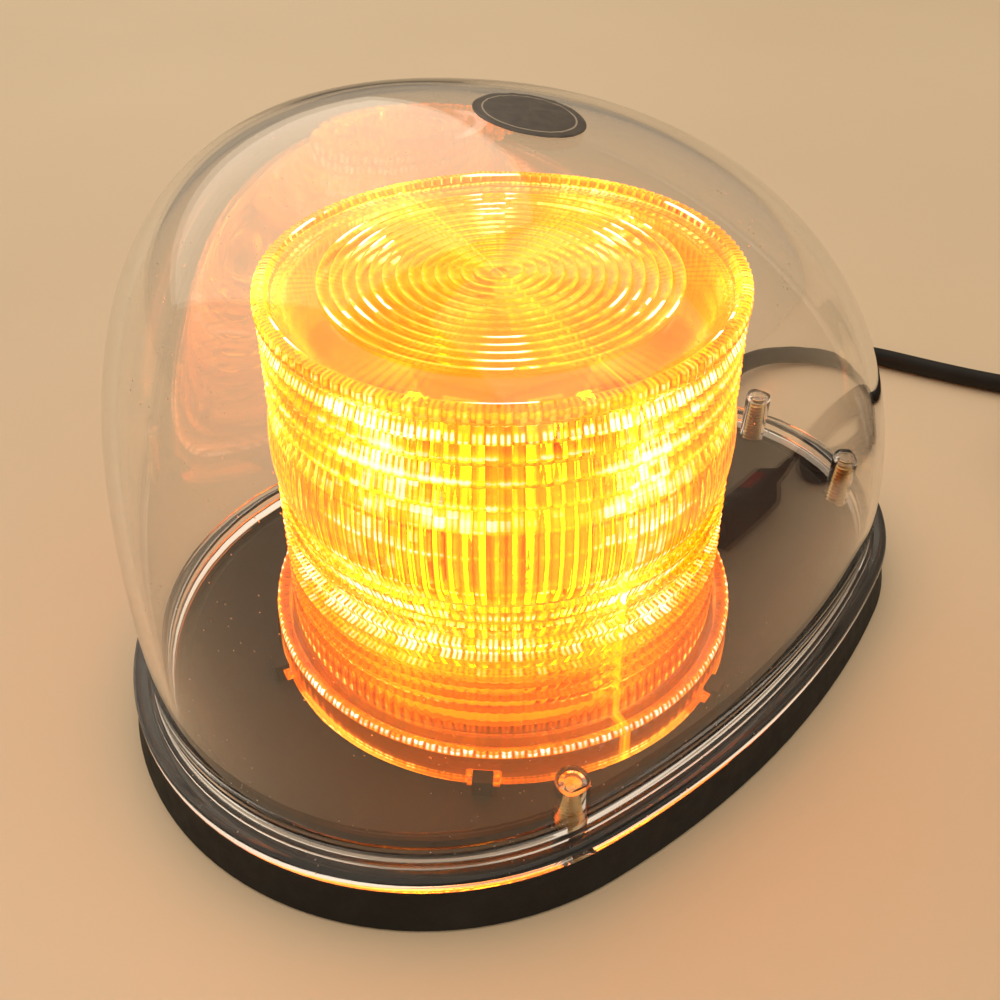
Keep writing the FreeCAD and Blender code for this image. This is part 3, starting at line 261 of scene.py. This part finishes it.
    def clear_to_lamps(self, tint):
        """Light reaches what is behind this clear surface."""
        rays = self.node("ShaderNodeLightPath").outputs["Is Shadow Ray"]
        through = self.node("ShaderNodeBsdfTransparent", {"Color": (*tint, 1)}).outputs[0]
        mix = self.node("ShaderNodeMixShader", {0: rays, 1: self.bsdf.outputs[0], 2: through}).outputs[0]
        self.link(mix, self.out.inputs["Surface"])
        return self


def moulded(name, dark, light, roughness, grain, depth):
    s = Shade(name, light, roughness, **{"Specular IOR Level": 0.22})
    s.color(s.noise(60, 5), [(0.3, dark), (0.7, light)]).rough(s.noise(300, 4), roughness - 0.06, roughness + 0.08)
    return s.bump(s.cells(grain), 0.35, depth).bump(s.noise(grain / 2, 4), 0.25, depth)


def plated(name, dark, light, roughness, stretch=(1, 1, 1)):
    s = Shade(name, light, roughness, 1.0)
    s.color(s.noise(90, 6), [(0.35, dark), (0.65, light)])
    return s.rough(s.noise(400, 5, stretch=stretch), roughness - 0.08, roughness + 0.1)


def make_materials():
    made = {}
    made["black_abs"] = moulded("black_abs", (0.010, 0.010, 0.009), (0.017, 0.016, 0.015), 0.45, 2600, 0.00006)
    made["black_rubber"] = moulded("black_rubber", (0.014, 0.014, 0.014), (0.024, 0.024, 0.023), 0.66, 1500, 0.00008)
    made["cord_jacket"] = moulded("cord_jacket", (0.012, 0.012, 0.012), (0.02, 0.02, 0.02), 0.4, 900, 0.00004)
    made["plug_plastic"] = moulded("plug_plastic", (0.015, 0.015, 0.016), (0.025, 0.025, 0.026), 0.3, 3200, 0.00004)
    made["button_plastic"] = moulded("button_plastic", (0.1, 0.1, 0.1), (0.14, 0.14, 0.14), 0.5, 2000, 0.00005)
    made["black_component"] = moulded("black_component", (0.02, 0.02, 0.025), (0.04, 0.04, 0.045), 0.35, 900, 0.00004)
    made["red_switch"] = moulded("red_switch", (0.42, 0.012, 0.012), (0.55, 0.02, 0.016), 0.3, 2500, 0.00003)
    made["white_plastic"] = moulded("white_plastic", (0.7, 0.68, 0.64), (0.82, 0.81, 0.78), 0.45, 1500, 0.00004)
    # painted light: the steel screws' coppery colour stands in for the lamps' orange light falling on them
    made["steel_screw"] = plated("steel_screw", (0.62, 0.42, 0.16), (0.86, 0.66, 0.33), 0.3)
    made["plated_cup"] = plated("plated_cup", (0.55, 0.55, 0.56), (0.75, 0.75, 0.76), 0.22, (1, 1, 20))
    made["plated_contact"] = plated("plated_contact", (0.6, 0.58, 0.54), (0.82, 0.81, 0.78), 0.2)
    made["aluminium_post"] = plated("aluminium_post", (0.6, 0.6, 0.6), (0.78, 0.78, 0.78), 0.35, (1, 1, 0.05))
    board = Shade("circuit_board", (0.8, 0.8, 0.76), 0.35)
    board.color(board.cells(260), [(0.1, (0.74, 0.73, 0.68)), (0.35, (0.84, 0.84, 0.8))])
    board.bump(board.noise(700), 0.2, 0.00004)
    made["circuit_board"] = board
    lamp = Shade("lamp_window", (0.3, 0.75, 0.3), 0.15, **{"Transmission Weight": 0.5, "IOR": 1.49})
    lamp.bump(lamp.noise(1500), 0.2, 0.00005)
    made["lamp_window"] = lamp
    led = Shade("amber_led", (1.0, 0.62, 0.12), 0.25)
    glow = led.spread(led.noise(500), 0.2, 0.8, 6.0, 12.0)
    level = led.node("ShaderNodeSeparateXYZ", {0: led.place}).outputs[2]
    # the top lamp of each strip is dimmer, so that it doesn't burn through the disc
    glow = led.math("MULTIPLY", glow, led.spread(level, 0.056, 0.06, 1.0, 0.03))
    led.set(Emission_Color=(1.0, 0.42, 0.012, 1))
    led.link(glow, led.bsdf.inputs["Emission Strength"])
    made["amber_led"] = led
    # painted glow: the strip bar is no lamp, but emits a faint orange that stands in for the lamps' light flooding it
    strip = Shade("strip_bar", (0.85, 0.8, 0.7), 0.4, **{"Emission Color": (1.0, 0.36, 0.02, 1)})
    strip.link(strip.spread(strip.noise(400), 0.3, 0.7, 1.0, 2.0), strip.bsdf.inputs["Emission Strength"])
    made["strip_bar"] = strip
    dome = Shade("clear_dome", (1.0, 0.985, 0.965), 0.0, **{"Transmission Weight": 1.0, "IOR": 1.5})
    dome.bump(dome.noise(9, 2), 0.25, 0.0006)
    dust = dome.math("LESS_THAN", dome.cells(420), 0.07)
    dust = dome.math("MULTIPLY", dust, dome.math("GREATER_THAN", dome.noise(30, 2), 0.55))
    dome.link(dome.math("MULTIPLY", dust, 0.6), dome.bsdf.inputs["Roughness"])
    made["clear_dome"] = dome.clear_to_lamps((0.97, 0.95, 0.92))
    lens = Shade("clear_lens", (1.0, 0.64, 0.07), WALL_ROUGHNESS, **{"Transmission Weight": 1.0, "IOR": 1.5})
    lens.bump(lens.noise(700, 4), 0.15, 0.0001)
    # the lens's painted glow: emission that stands in for the lamps' light
    made["clear_lens"] = lens.painted_lens_glow().clear_to_lamps((0.95, 0.8, 0.5))
    label = Shade("label_film", (0.1, 0.085, 0.07), 0.35)
    label.color(label.noise(400, 5), [(0.3, (0.06, 0.05, 0.045)), (0.7, (0.11, 0.095, 0.08))])
    made["label_film"] = label.bump(label.noise(120, 3), 0.2, 0.0002)
    ink = Shade("label_ring", (0.45, 0.38, 0.3), 0.4)
    made["label_ring"] = ink.bump(ink.noise(900), 0.1, 0.00002)
    return {key: s.mat for key, s in made.items()}


mats = make_materials()


def dress_nodes():
    """Give every CAD node the material of its slot in the record."""
    slots = {s["node"]: s["material_slot"] for s in frame["record"]["subparts"]}
    for name, obj in frame["nodes"].items():
        obj.data.materials.clear()
        obj.data.materials.append(mats[slots[name]])


dress_nodes()


# ---------------------------------------------------------------- mesh helpers
def piece(name, verts, faces, slot, replaces=(), extra=(), sharp=35, which=None):
    """A piece on the body beacon from points in millimetres; which gives each face's material."""
    mesh = bpy.data.meshes.new(name)
    mesh.from_pydata([Vector(v) * MM for v in verts], [], faces)
    for key in (slot, *extra):
        mesh.materials.append(mats[key])
    if which:
        for polygon, index in zip(mesh.polygons, which):
            polygon.material_index = index
    mesh.validate()
    mesh.shade_smooth()
    mesh.set_sharp_from_angle(angle=math.radians(sharp))
    obj = bpy.data.objects.new(name, mesh)
    bpy.context.collection.objects.link(obj)
    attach(obj, "beacon")
    if replaces:
        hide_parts(*replaces)


def skin(rows, first=0, loop=True, close_rows=False):
    """Faces between rows of equally many points; loop closes each row on itself."""
    n = len(rows[0])
    faces = []
    pairs = list(zip(range(len(rows)), range(1, len(rows))))
    if close_rows:
        pairs.append((len(rows) - 1, 0))
    for a, b in pairs:
        for i in range(n if loop else n - 1):
            j = (i + 1) % n
            faces.append((first + a * n + i, first + a * n + j, first + b * n + j, first + b * n + i))
    return faces


def flat(rows):
    return [p for row in rows for p in row]


def turned(profile, centre, segments, swell=None):
    """Rows of points for (radius, height) pairs turned about +Z; swell(row, angle) adds to a radius."""
    rows = []
    for k, (r, h) in enumerate(profile):
        row = []
        for i in range(segments):
            a = 2 * math.pi * i / segments
            rr = r + (swell(k, a) if swell else 0)
            row.append((centre[0] + rr * math.cos(a), centre[1] + rr * math.sin(a), centre[2] + h))
        rows.append(row)
    return rows


# ---------------------------------------------------------------- dome
def egg(nose_y, half_width, tail_y, tail_radius, z, counts=(56, 30, 34)):
    """Points of the teardrop outline, anticlockwise from its left-hand side."""
    span = tail_y - nose_y
    side = (span**2 + half_width**2 - tail_radius**2) / (2 * (half_width - tail_radius))
    end = math.atan2(span, side - half_width)
    points = []
    for i in range(counts[0]):
        a = math.pi + math.pi * i / counts[0]
        points.append((half_width * math.cos(a), nose_y + half_width * math.sin(a), z))
    for i in range(counts[1]):
        a = end * i / counts[1]
        points.append((half_width - side + side * math.cos(a), nose_y + side * math.sin(a), z))
    for i in range(counts[2]):
        a = end + (math.pi - 2 * end) * i / counts[2]
        points.append((tail_radius * math.cos(a), tail_y + tail_radius * math.sin(a), z))
    for i in range(counts[1]):
        a = end * (1 - i / counts[1])
        points.append((side - half_width - side * math.cos(a), nose_y + side * math.sin(a), z))
    return points


def rim(inset, z):
    """The dome's outline at its flange."""
    return egg(NOSE_Y, NOSE_RADIUS - inset, TAIL_Y, TAIL_RADIUS - inset, z)


def dome_level(inset, height, angle):
    """One level of the dome, from 0 degrees at its foot to 90 at its apex."""
    rise = math.sin(math.radians(angle))

    def shrink(power):
        return (1 - rise**power) ** (1 / power)

    half_width, tail_radius = NOSE_RADIUS - inset, TAIL_RADIUS - inset
    front = APEX_Y - (APEX_Y - NOSE_Y + half_width) * shrink(NOSE_POWER)
    back = APEX_Y + (TAIL_Y + tail_radius - APEX_Y) * shrink(TAIL_POWER)
    width = min(half_width * shrink(SIDE_POWER), WIDEST_SHARE * (back - front))
    share = tail_radius / half_width
    small = width * (share + (1 - share) * rise / 2)
    return egg(front + width, width, back - small, small, DOME_BOTTOM + height * rise)


def dome_rows(inset, height, lowest, count=44):
    """Levels from the rim up, closer together towards the apex."""
    return [dome_level(inset, height, 90 - (90 - lowest) * (1 - i / count) ** 1.9) for i in range(count)]


def build_dome():
    inner = dome_rows(FLANGE_WIDTH + DOME_WALL, DOME_HEIGHT - DOME_WALL, 0.0)
    outer = dome_rows(FLANGE_WIDTH, DOME_HEIGHT, 2.6)
    steps = [(2.6, 10.5), (0.5, 10.5), (0.15, 10.7), (0.0, 11.1), (0.0, 12.7), (0.2, 13.2), (0.7, 13.5),
             (2.9, 13.5), (3.15, 13.55), (3.3, 13.75), (3.35, 14.1), (3.55, 14.3), (4.1, 14.35), (4.35, 14.7)]
    rows = inner[::-1] + [rim(i, z) for i, z in steps] + outer
    verts, faces = flat(rows), skin(rows)
    n = len(rows[0])
    inside, outside = len(verts), len(verts) + 1
    verts += [(0, APEX_Y, DOME_BOTTOM + DOME_HEIGHT - DOME_WALL), (0, APEX_Y, DOME_BOTTOM + DOME_HEIGHT)]
    last = (len(rows) - 1) * n
    for i in range(n):
        j = (i + 1) % n
        faces.append((inside, j, i))
        faces.append((outside, last + i, last + j))
    piece("dome_shell", verts, faces, "clear_dome", replaces=["dome"])


build_dome()


def boss_places():
    spots = []
    for radius, y, angles in ((NOSE_RADIUS - BOSS_INSET, NOSE_Y, NOSE_BOSS_ANGLES),
                              (TAIL_RADIUS - BOSS_INSET, TAIL_Y, TAIL_BOSS_ANGLES)):
        for a in angles:
            spots.append((radius * math.cos(math.radians(a)), y + radius * math.sin(math.radians(a))))
    return spots


def build_bosses():
    profile = [(2.25, 0.05), (3.05, 0.05), (3.2, 0.3), (3.25, 13.5), (3.0, 14.3), (2.5, BOSS_TOP), (0.01, BOSS_TOP),
               (0.01, 13.2), (1.6, 13.2), (2.25, 12.6)]
    for i, (x, y) in enumerate(boss_places(), 1):
        rows = turned(profile, (x, y, DOME_BOTTOM), 40)
        piece(f"dome_boss_{i}", flat(rows), skin(rows, close_rows=True), "clear_dome")


build_bosses()


def threaded(x, y, bottom, top, minor, major, pitch, segments=24):
    """Sections across a screw thread, one for each step up the helix."""
    rows = []
    steps = int((top - bottom) / pitch * segments)
    shape = [(0.0, minor), (0.3, minor), (0.5, major), (0.7, minor)]
    for s in range(steps + 1):
        a = 2 * math.pi * s / segments
        z = bottom + pitch * s / segments
        row = []
        for share, r in shape:
            row.append((x + r * math.cos(a), y + r * math.sin(a), z + pitch * share))
        row.append((x + minor * math.cos(a), y + minor * math.sin(a), z + pitch))
        rows.append(row)
    return rows


def build_screws():
    for i, (x, y) in enumerate(boss_places(), 1):
        rows = threaded(x, y, 8.0, 21.8, SCREW_RADIUS, THREAD_RADIUS, THREAD_PITCH)
        verts, faces = flat(rows), skin(rows, loop=False)
        head = [(0.01, 5.9), (1.1, 5.9), (1.3, 4.8), (2.6, 4.8), (3.5, 5.2), (3.8, 5.9), (3.8, 6.8), (3.5, 7.0),
                (2.0, 7.0), (1.6, 7.2), (1.6, 22.6), (0.01, 22.9)]
        more = turned(head, (x, y, 0), 32)
        faces += skin(more, len(verts))
        verts += flat(more)
        piece(f"dome_screw_thread_{i}", verts, faces, "steel_screw", replaces=[f"dome_screw_{i}"])


build_screws()


# ---------------------------------------------------------------- lens
def lens_radius(h):
    """The drum's outer radius at a height above its foot."""
    return DRUM_FOOT_RADIUS + (DRUM_TOP_RADIUS - DRUM_FOOT_RADIUS) * (h - COLLAR_TOP) / (LENS_HEIGHT - COLLAR_TOP)


def prism(h, toe, up):
    """Profile points of one prism ring, from its crest at h to its root at toe; up is 1 or -1."""
    return [(lens_radius(h), h, PRISM_FLUTE), (lens_radius(h) - 0.05, h + up * 0.35, PRISM_FLUTE),
            (lens_radius(toe) - 1.45, toe - up * 0.45, PRISM_FLUTE),
            (lens_radius(toe) - 1.3, toe - up * 0.1, PRISM_FLUTE)]


def lens_profile():
    """(radius, height, flute depth) from the foot up the outside, over the top and down the inside."""
    p = [(51.4, 0, 0), (51.3, 0.6, 0), (51.0, 8.2, 0), (50.7, 9.1, 0.2), (50.2, 9.7, BEAD),
         (49.2, COLLAR_TOP, 0.1), (47.4, COLLAR_TOP, 0), (lens_radius(10.5), 10.4, 0)]
    below, h = [], BAND_BOTTOM
    for i in range(8):
        low = h - 4.5 * 0.96**i
        below += prism(h, low, -1)
        h = low
    p += [(lens_radius(h), h, PRISM_FLUTE)] + below[::-1]
    for t in (0.12, 0.3, 0.5, 0.7, 0.88):
        level = BAND_BOTTOM + BAND_HEIGHT * t
        p.append((lens_radius(level) + BAND_BULGE * math.sin(math.pi * t), level, BAND_FLUTE))
    h = BAND_BOTTOM + BAND_HEIGHT
    for i in range(5):
        high = h + 5.1 * 0.93**i
        p += prism(h, high, 1)
        h = high
    p += [(lens_radius(h), h, 0), (45.1, 83.2, BEAD), (45.2, 84.6, BEAD), (45.0, 85.7, BEAD),
          (44.4, LENS_HEIGHT, 0.1), (42.9, LENS_HEIGHT, 0), (42.5, 85.6, 0), (42.2, 85.1, 0),
          (41.5, DISC_LEVEL, 0), (34.2, DISC_LEVEL, 0)]
    pitch = DISC_RADIUS / (DISC_RINGS + 1)
    for i in range(DISC_RINGS):
        r = DISC_RADIUS - pitch * i
        p += [(r, DISC_LEVEL, 0), (r - 0.12, 85.8, 0), (r - 0.4, 85.95, 0), (r - pitch * 0.55, 85.5, 0)]
    p += [(1.9, DISC_LEVEL, 0), (1.6, 85.3, 0), (0.6, 85.4, 0), (0.02, 85.4, 0), (0.02, 82.5, 0), (20, 82.5, 0),
          (38.5, 82.5, 0), (40.6, 82.2, 0.1)]
    for level in (81.6, 79, 74, 68, 62, 56, 50, 44, 38, 32, 26, 20, 14, 8.6):
        p.append((lens_radius(level) - LENS_WALL, level, 0.05))
    p += [(lens_radius(8) - LENS_WALL, 7.5, 0), (48.3, 7.4, 0), (48.4, 7.2, 0), (48.4, 0, 0)]
    return p


def build_lens():
    profile = lens_profile()

    def swell(k, a):
        radius, height, depth = profile[k]
        if not depth:
            return 0
        if abs(math.sin(a - SEAM)) < SEAM_HALF_ANGLE and depth in (PRISM_FLUTE, BAND_FLUTE):
            return lens_radius(height) + SEAM_HEIGHT - radius
        return depth * (2 * abs(math.cos(FLUTES * a / 2)) - 1)

    rows = turned([(r, h) for r, h, _ in profile], (0, LENS_Y, LENS_FOOT), FLUTES * POINTS_PER_FLUTE, swell)
    piece("lens_drum", flat(rows), skin(rows, close_rows=True), "clear_lens", replaces=["lens"], sharp=28)


build_lens()


def build_lugs():
    """Bayonet lugs round the collar's foot."""
    for k in range(LUG_COUNT):
        a = math.radians(FIRST_LUG_ANGLE + 360 / LUG_COUNT * k)
        along, across = Vector((math.cos(a), math.sin(a), 0)), Vector((-math.sin(a), math.cos(a), 0))
        rows = []
        for z, inset in ((12.3, 0.5), (12.5, 0.15), (12.8, 0.0), (13.8, 0.0), (14.1, 0.15), (14.3, 0.5)):
            row = []
            for out, side in ((49.7, -LUG_HALF_WIDTH), (52.2, -LUG_HALF_WIDTH), (52.85, -3.2), (LUG_REACH, -2.5),
                              (LUG_REACH, 2.5), (52.85, 3.2), (52.2, LUG_HALF_WIDTH), (49.7, LUG_HALF_WIDTH)):
                out = min(out, LUG_REACH - inset)
                side = math.copysign(min(abs(side), LUG_HALF_WIDTH - inset), side)
                row.append(tuple(Vector((0, LENS_Y, z)) + along * out + across * side))
            rows.append(row)
        faces = skin(rows) + [tuple(range(7, -1, -1)), tuple(range(40, 48))]
        piece(f"lens_lug_{k + 1}", flat(rows), faces, "clear_lens")


build_lugs()


# ---------------------------------------------------------------- lamps
def build_strips():
    """Bars with round lamps on the faces of the post."""
    half_w, half_h, corner = 4.0, 22.9, 0.8
    outline = []
    for sx, sz, start in ((1, 1, 0), (-1, 1, 90), (-1, -1, 180), (1, -1, 270)):
        for t in (0, 30, 60, 90):
            a = math.radians(start + t)
            outline.append((sx * (half_w - corner) + corner * math.cos(a),
                            sz * (half_h - corner) + corner * math.sin(a)))
    bar = [[(x * s, BOARD_FACE + depth, STRIP_MIDDLE + z * s) for x, z in outline]
           for depth, s in ((0.02, 1.0), (0.6, 1.0), (0.8, 0.97), (0.8, 0.02))]
    bulb = [(2.8, 0.8), (2.8, 2.2), (2.65, 3.1), (2.2, 3.95), (1.5, 4.55), (0.75, 4.9), (0.02, 5.0)]
    for k in range(POST_SIDES):
        turn = Matrix.Rotation(math.radians(FIRST_FACE_ANGLE + 360 / POST_SIDES * k), 3, "Z")
        verts, faces, which = [], [], []

        def add(rows, index):
            new = skin(rows, len(verts))
            verts.extend([tuple(turn @ Vector(p) + Vector((0, LENS_Y, 0))) for p in flat(rows)])
            faces.extend(new)
            which.extend([index] * len(new))

        add(bar, 0)
        for i in range(LAMPS_PER_STRIP):
            z = STRIP_MIDDLE + LAMP_SPACING * (i - (LAMPS_PER_STRIP - 1) / 2)
            add([[(r * math.cos(2 * math.pi * j / 28), BOARD_FACE + d, z + r * math.sin(2 * math.pi * j / 28))
                  for j in range(28)] for r, d in bulb], 1)
        piece(f"lamp_strip_{k + 1}", verts, faces, "strip_bar", replaces=[f"led_strip_{k + 1}"], extra=["amber_led"],
              which=which)


build_strips()


# ---------------------------------------------------------------- label
def build_label():
    """Round bare label that follows the dome."""
    centre, radius, around, film, printed_ring = (6.6, -8.4), 9.4, 48, 0.12, 7.6
    fine = dome_rows(FLANGE_WIDTH - 0.2, DOME_HEIGHT + 0.2, 20.0, 60)
    dome_points = [Vector(p) for row in fine[18:] for p in row]

    def height(x, y):
        """The dome's height, from its nearest points."""
        near = sorted(dome_points, key=lambda p: (p.x - x) ** 2 + (p.y - y) ** 2)[:6]
        total = weight = 0.0
        for p in near:
            w = 1 / ((p.x - x) ** 2 + (p.y - y) ** 2 + 0.05)
            total, weight = total + w * p.z, weight + w
        return total / weight

    rings = (0.02, 1.5, 3, 4.5, 6, 7.2, printed_ring, 7.9, 8.3, 8.8, 9.2, radius)
    rows = []
    for r in rings:
        row = []
        for j in range(around):
            a = 2 * math.pi * j / around
            x, y = centre[0] + r * math.cos(a), centre[1] + r * math.sin(a)
            row.append((x, y, height(x, y) + (0.0 if r == radius else film)))
        rows.append(row)
    faces = skin(rows)
    which = [1 if rings[i // around] == printed_ring else 0 for i in range(len(faces))]
    piece("round_label", flat(rows), faces, "label_film", replaces=["sticker"], extra=["label_ring"], which=which)


build_label()


# ---------------------------------------------------------------- lead
def lead_route():
    """The lead's points, from the strain relief through the coil to the plug."""
    points = [BOOT_END, (-50.99, 108.02, 5.3), (-53.0, 117.5, 4.8), (-52.4, 127.2, 3.8), (-49.0, 136.3, 3.1),
              (-43.2, 144.4, 2.75), (-34.7, 151.8, 2.8), (-21.6, 159.7, 2.75), (-8.0, 168.4, 2.8),
              (5.0, 178.4, 2.9), (16.5, 188.0, 3.1), (25.5, 195.0, 3.4), (32.5, 200.7, 3.55)]
    per_turn, change = 24, 8
    step = 360 / per_turn
    widen = 1 / math.cos(math.pi / per_turn)        # the spline cuts inside its points
    lanes = COIL_RADII + COIL_RADII[::-1]           # inwards on the floor, then outwards on top of that
    inward = len(COIL_RADII)
    total = per_turn * (len(lanes) - 1) + round(COIL_START_ANGLE / step)
    for k in range(1, total):
        lane, into = divmod(k, per_turn)
        angle = COIL_START_ANGLE - step * k
        radius, level = lanes[lane], COIL_LEVELS[lane // inward]
        if lane < inward:
            t = max(0.0, (into - (per_turn - change)) / change) * math.pi / 2
            if lane < inward - 1:
                radius += (lanes[lane + 1] - radius) * (1 - math.cos(t))
            else:
                level += (COIL_LEVELS[1] - level) * math.sin(t)
        elif lane < len(lanes) - 1:
            t = min(1.0, max(0.0, (into - (per_turn - 2 * change)) / change)) * math.pi / 2
            radius += (lanes[lane + 1] - radius) * math.sin(t)
        a = math.radians(angle)
        points.append((COIL_CENTRE[0] + radius * widen * math.cos(a),
                       COIL_CENTRE[1] + radius * widen * math.sin(a), level))
    points += [(100.5, 176.0, 9.05), (100.6, 167.5, 10.2), (101.86, 159.12, 11.5), PLUG_START]
    return points


def build_lead():
    points = lead_route()
    curve = bpy.data.curves.new("lead", "CURVE")
    curve.dimensions = "3D"
    spline = curve.splines.new("NURBS")
    spline.points.add(len(points) - 1)
    for target, p in zip(spline.points, points):
        target.co = (p[0] * MM, p[1] * MM, p[2] * MM, 1)
    spline.order_u = 3
    spline.use_endpoint_u = True
    spline.resolution_u = 6
    curve.bevel_depth = CORD_RADIUS * MM
    curve.bevel_resolution = 5
    curve.use_fill_caps = True
    curve.materials.append(mats["cord_jacket"])
    obj = bpy.data.objects.new("lead", curve)
    bpy.context.collection.objects.link(obj)
    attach(obj, "beacon")
    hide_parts("cord_lead", "cord_coil", "cord_tail")


build_lead()


# ---------------------------------------------------------------- room
def build_room():
    """A pale floor under soft, warm studio light."""
    mesh = bpy.data.meshes.new("floor")
    reach = 6
    mesh.from_pydata([(-reach, -reach, 0), (reach, -reach, 0), (reach, reach, 0), (-reach, reach, 0)], [],
                     [(0, 1, 2, 3)])
    shade = Shade("floor", (0.84, 0.69, 0.5), 0.55)
    shade.color(shade.noise(3, 3), [(0.3, (0.8, 0.65, 0.46)), (0.7, (0.86, 0.71, 0.52))])
    mesh.materials.append(shade.mat)
    floor = bpy.data.objects.new("floor", mesh)
    bpy.context.collection.objects.link(floor)
    world = bpy.data.worlds.new("world")
    world.use_nodes = True
    background = world.node_tree.nodes["Background"].inputs
    background["Color"].default_value, background["Strength"].default_value = (1.0, 0.8, 0.58, 1), 0.35
    bpy.context.scene.world = world
    for name, at, size, power in (("key", (-1.6, -0.3, 2.4), 5.0, 62), ("fill", (2.2, 1.6, 2.2), 4.0, 26)):
        data = bpy.data.lights.new(name, "AREA")
        data.size, data.energy, data.color = size, power, (1.0, 0.88, 0.72)
        light = bpy.data.objects.new(name, data)
        light.location = at
        light.rotation_euler = (Vector((0, 0, 0.05)) - Vector(at)).to_track_quat("-Z", "Y").to_euler()
        bpy.context.collection.objects.link(light)


build_room()
bpy.context.scene.view_settings.view_transform = "Standard"
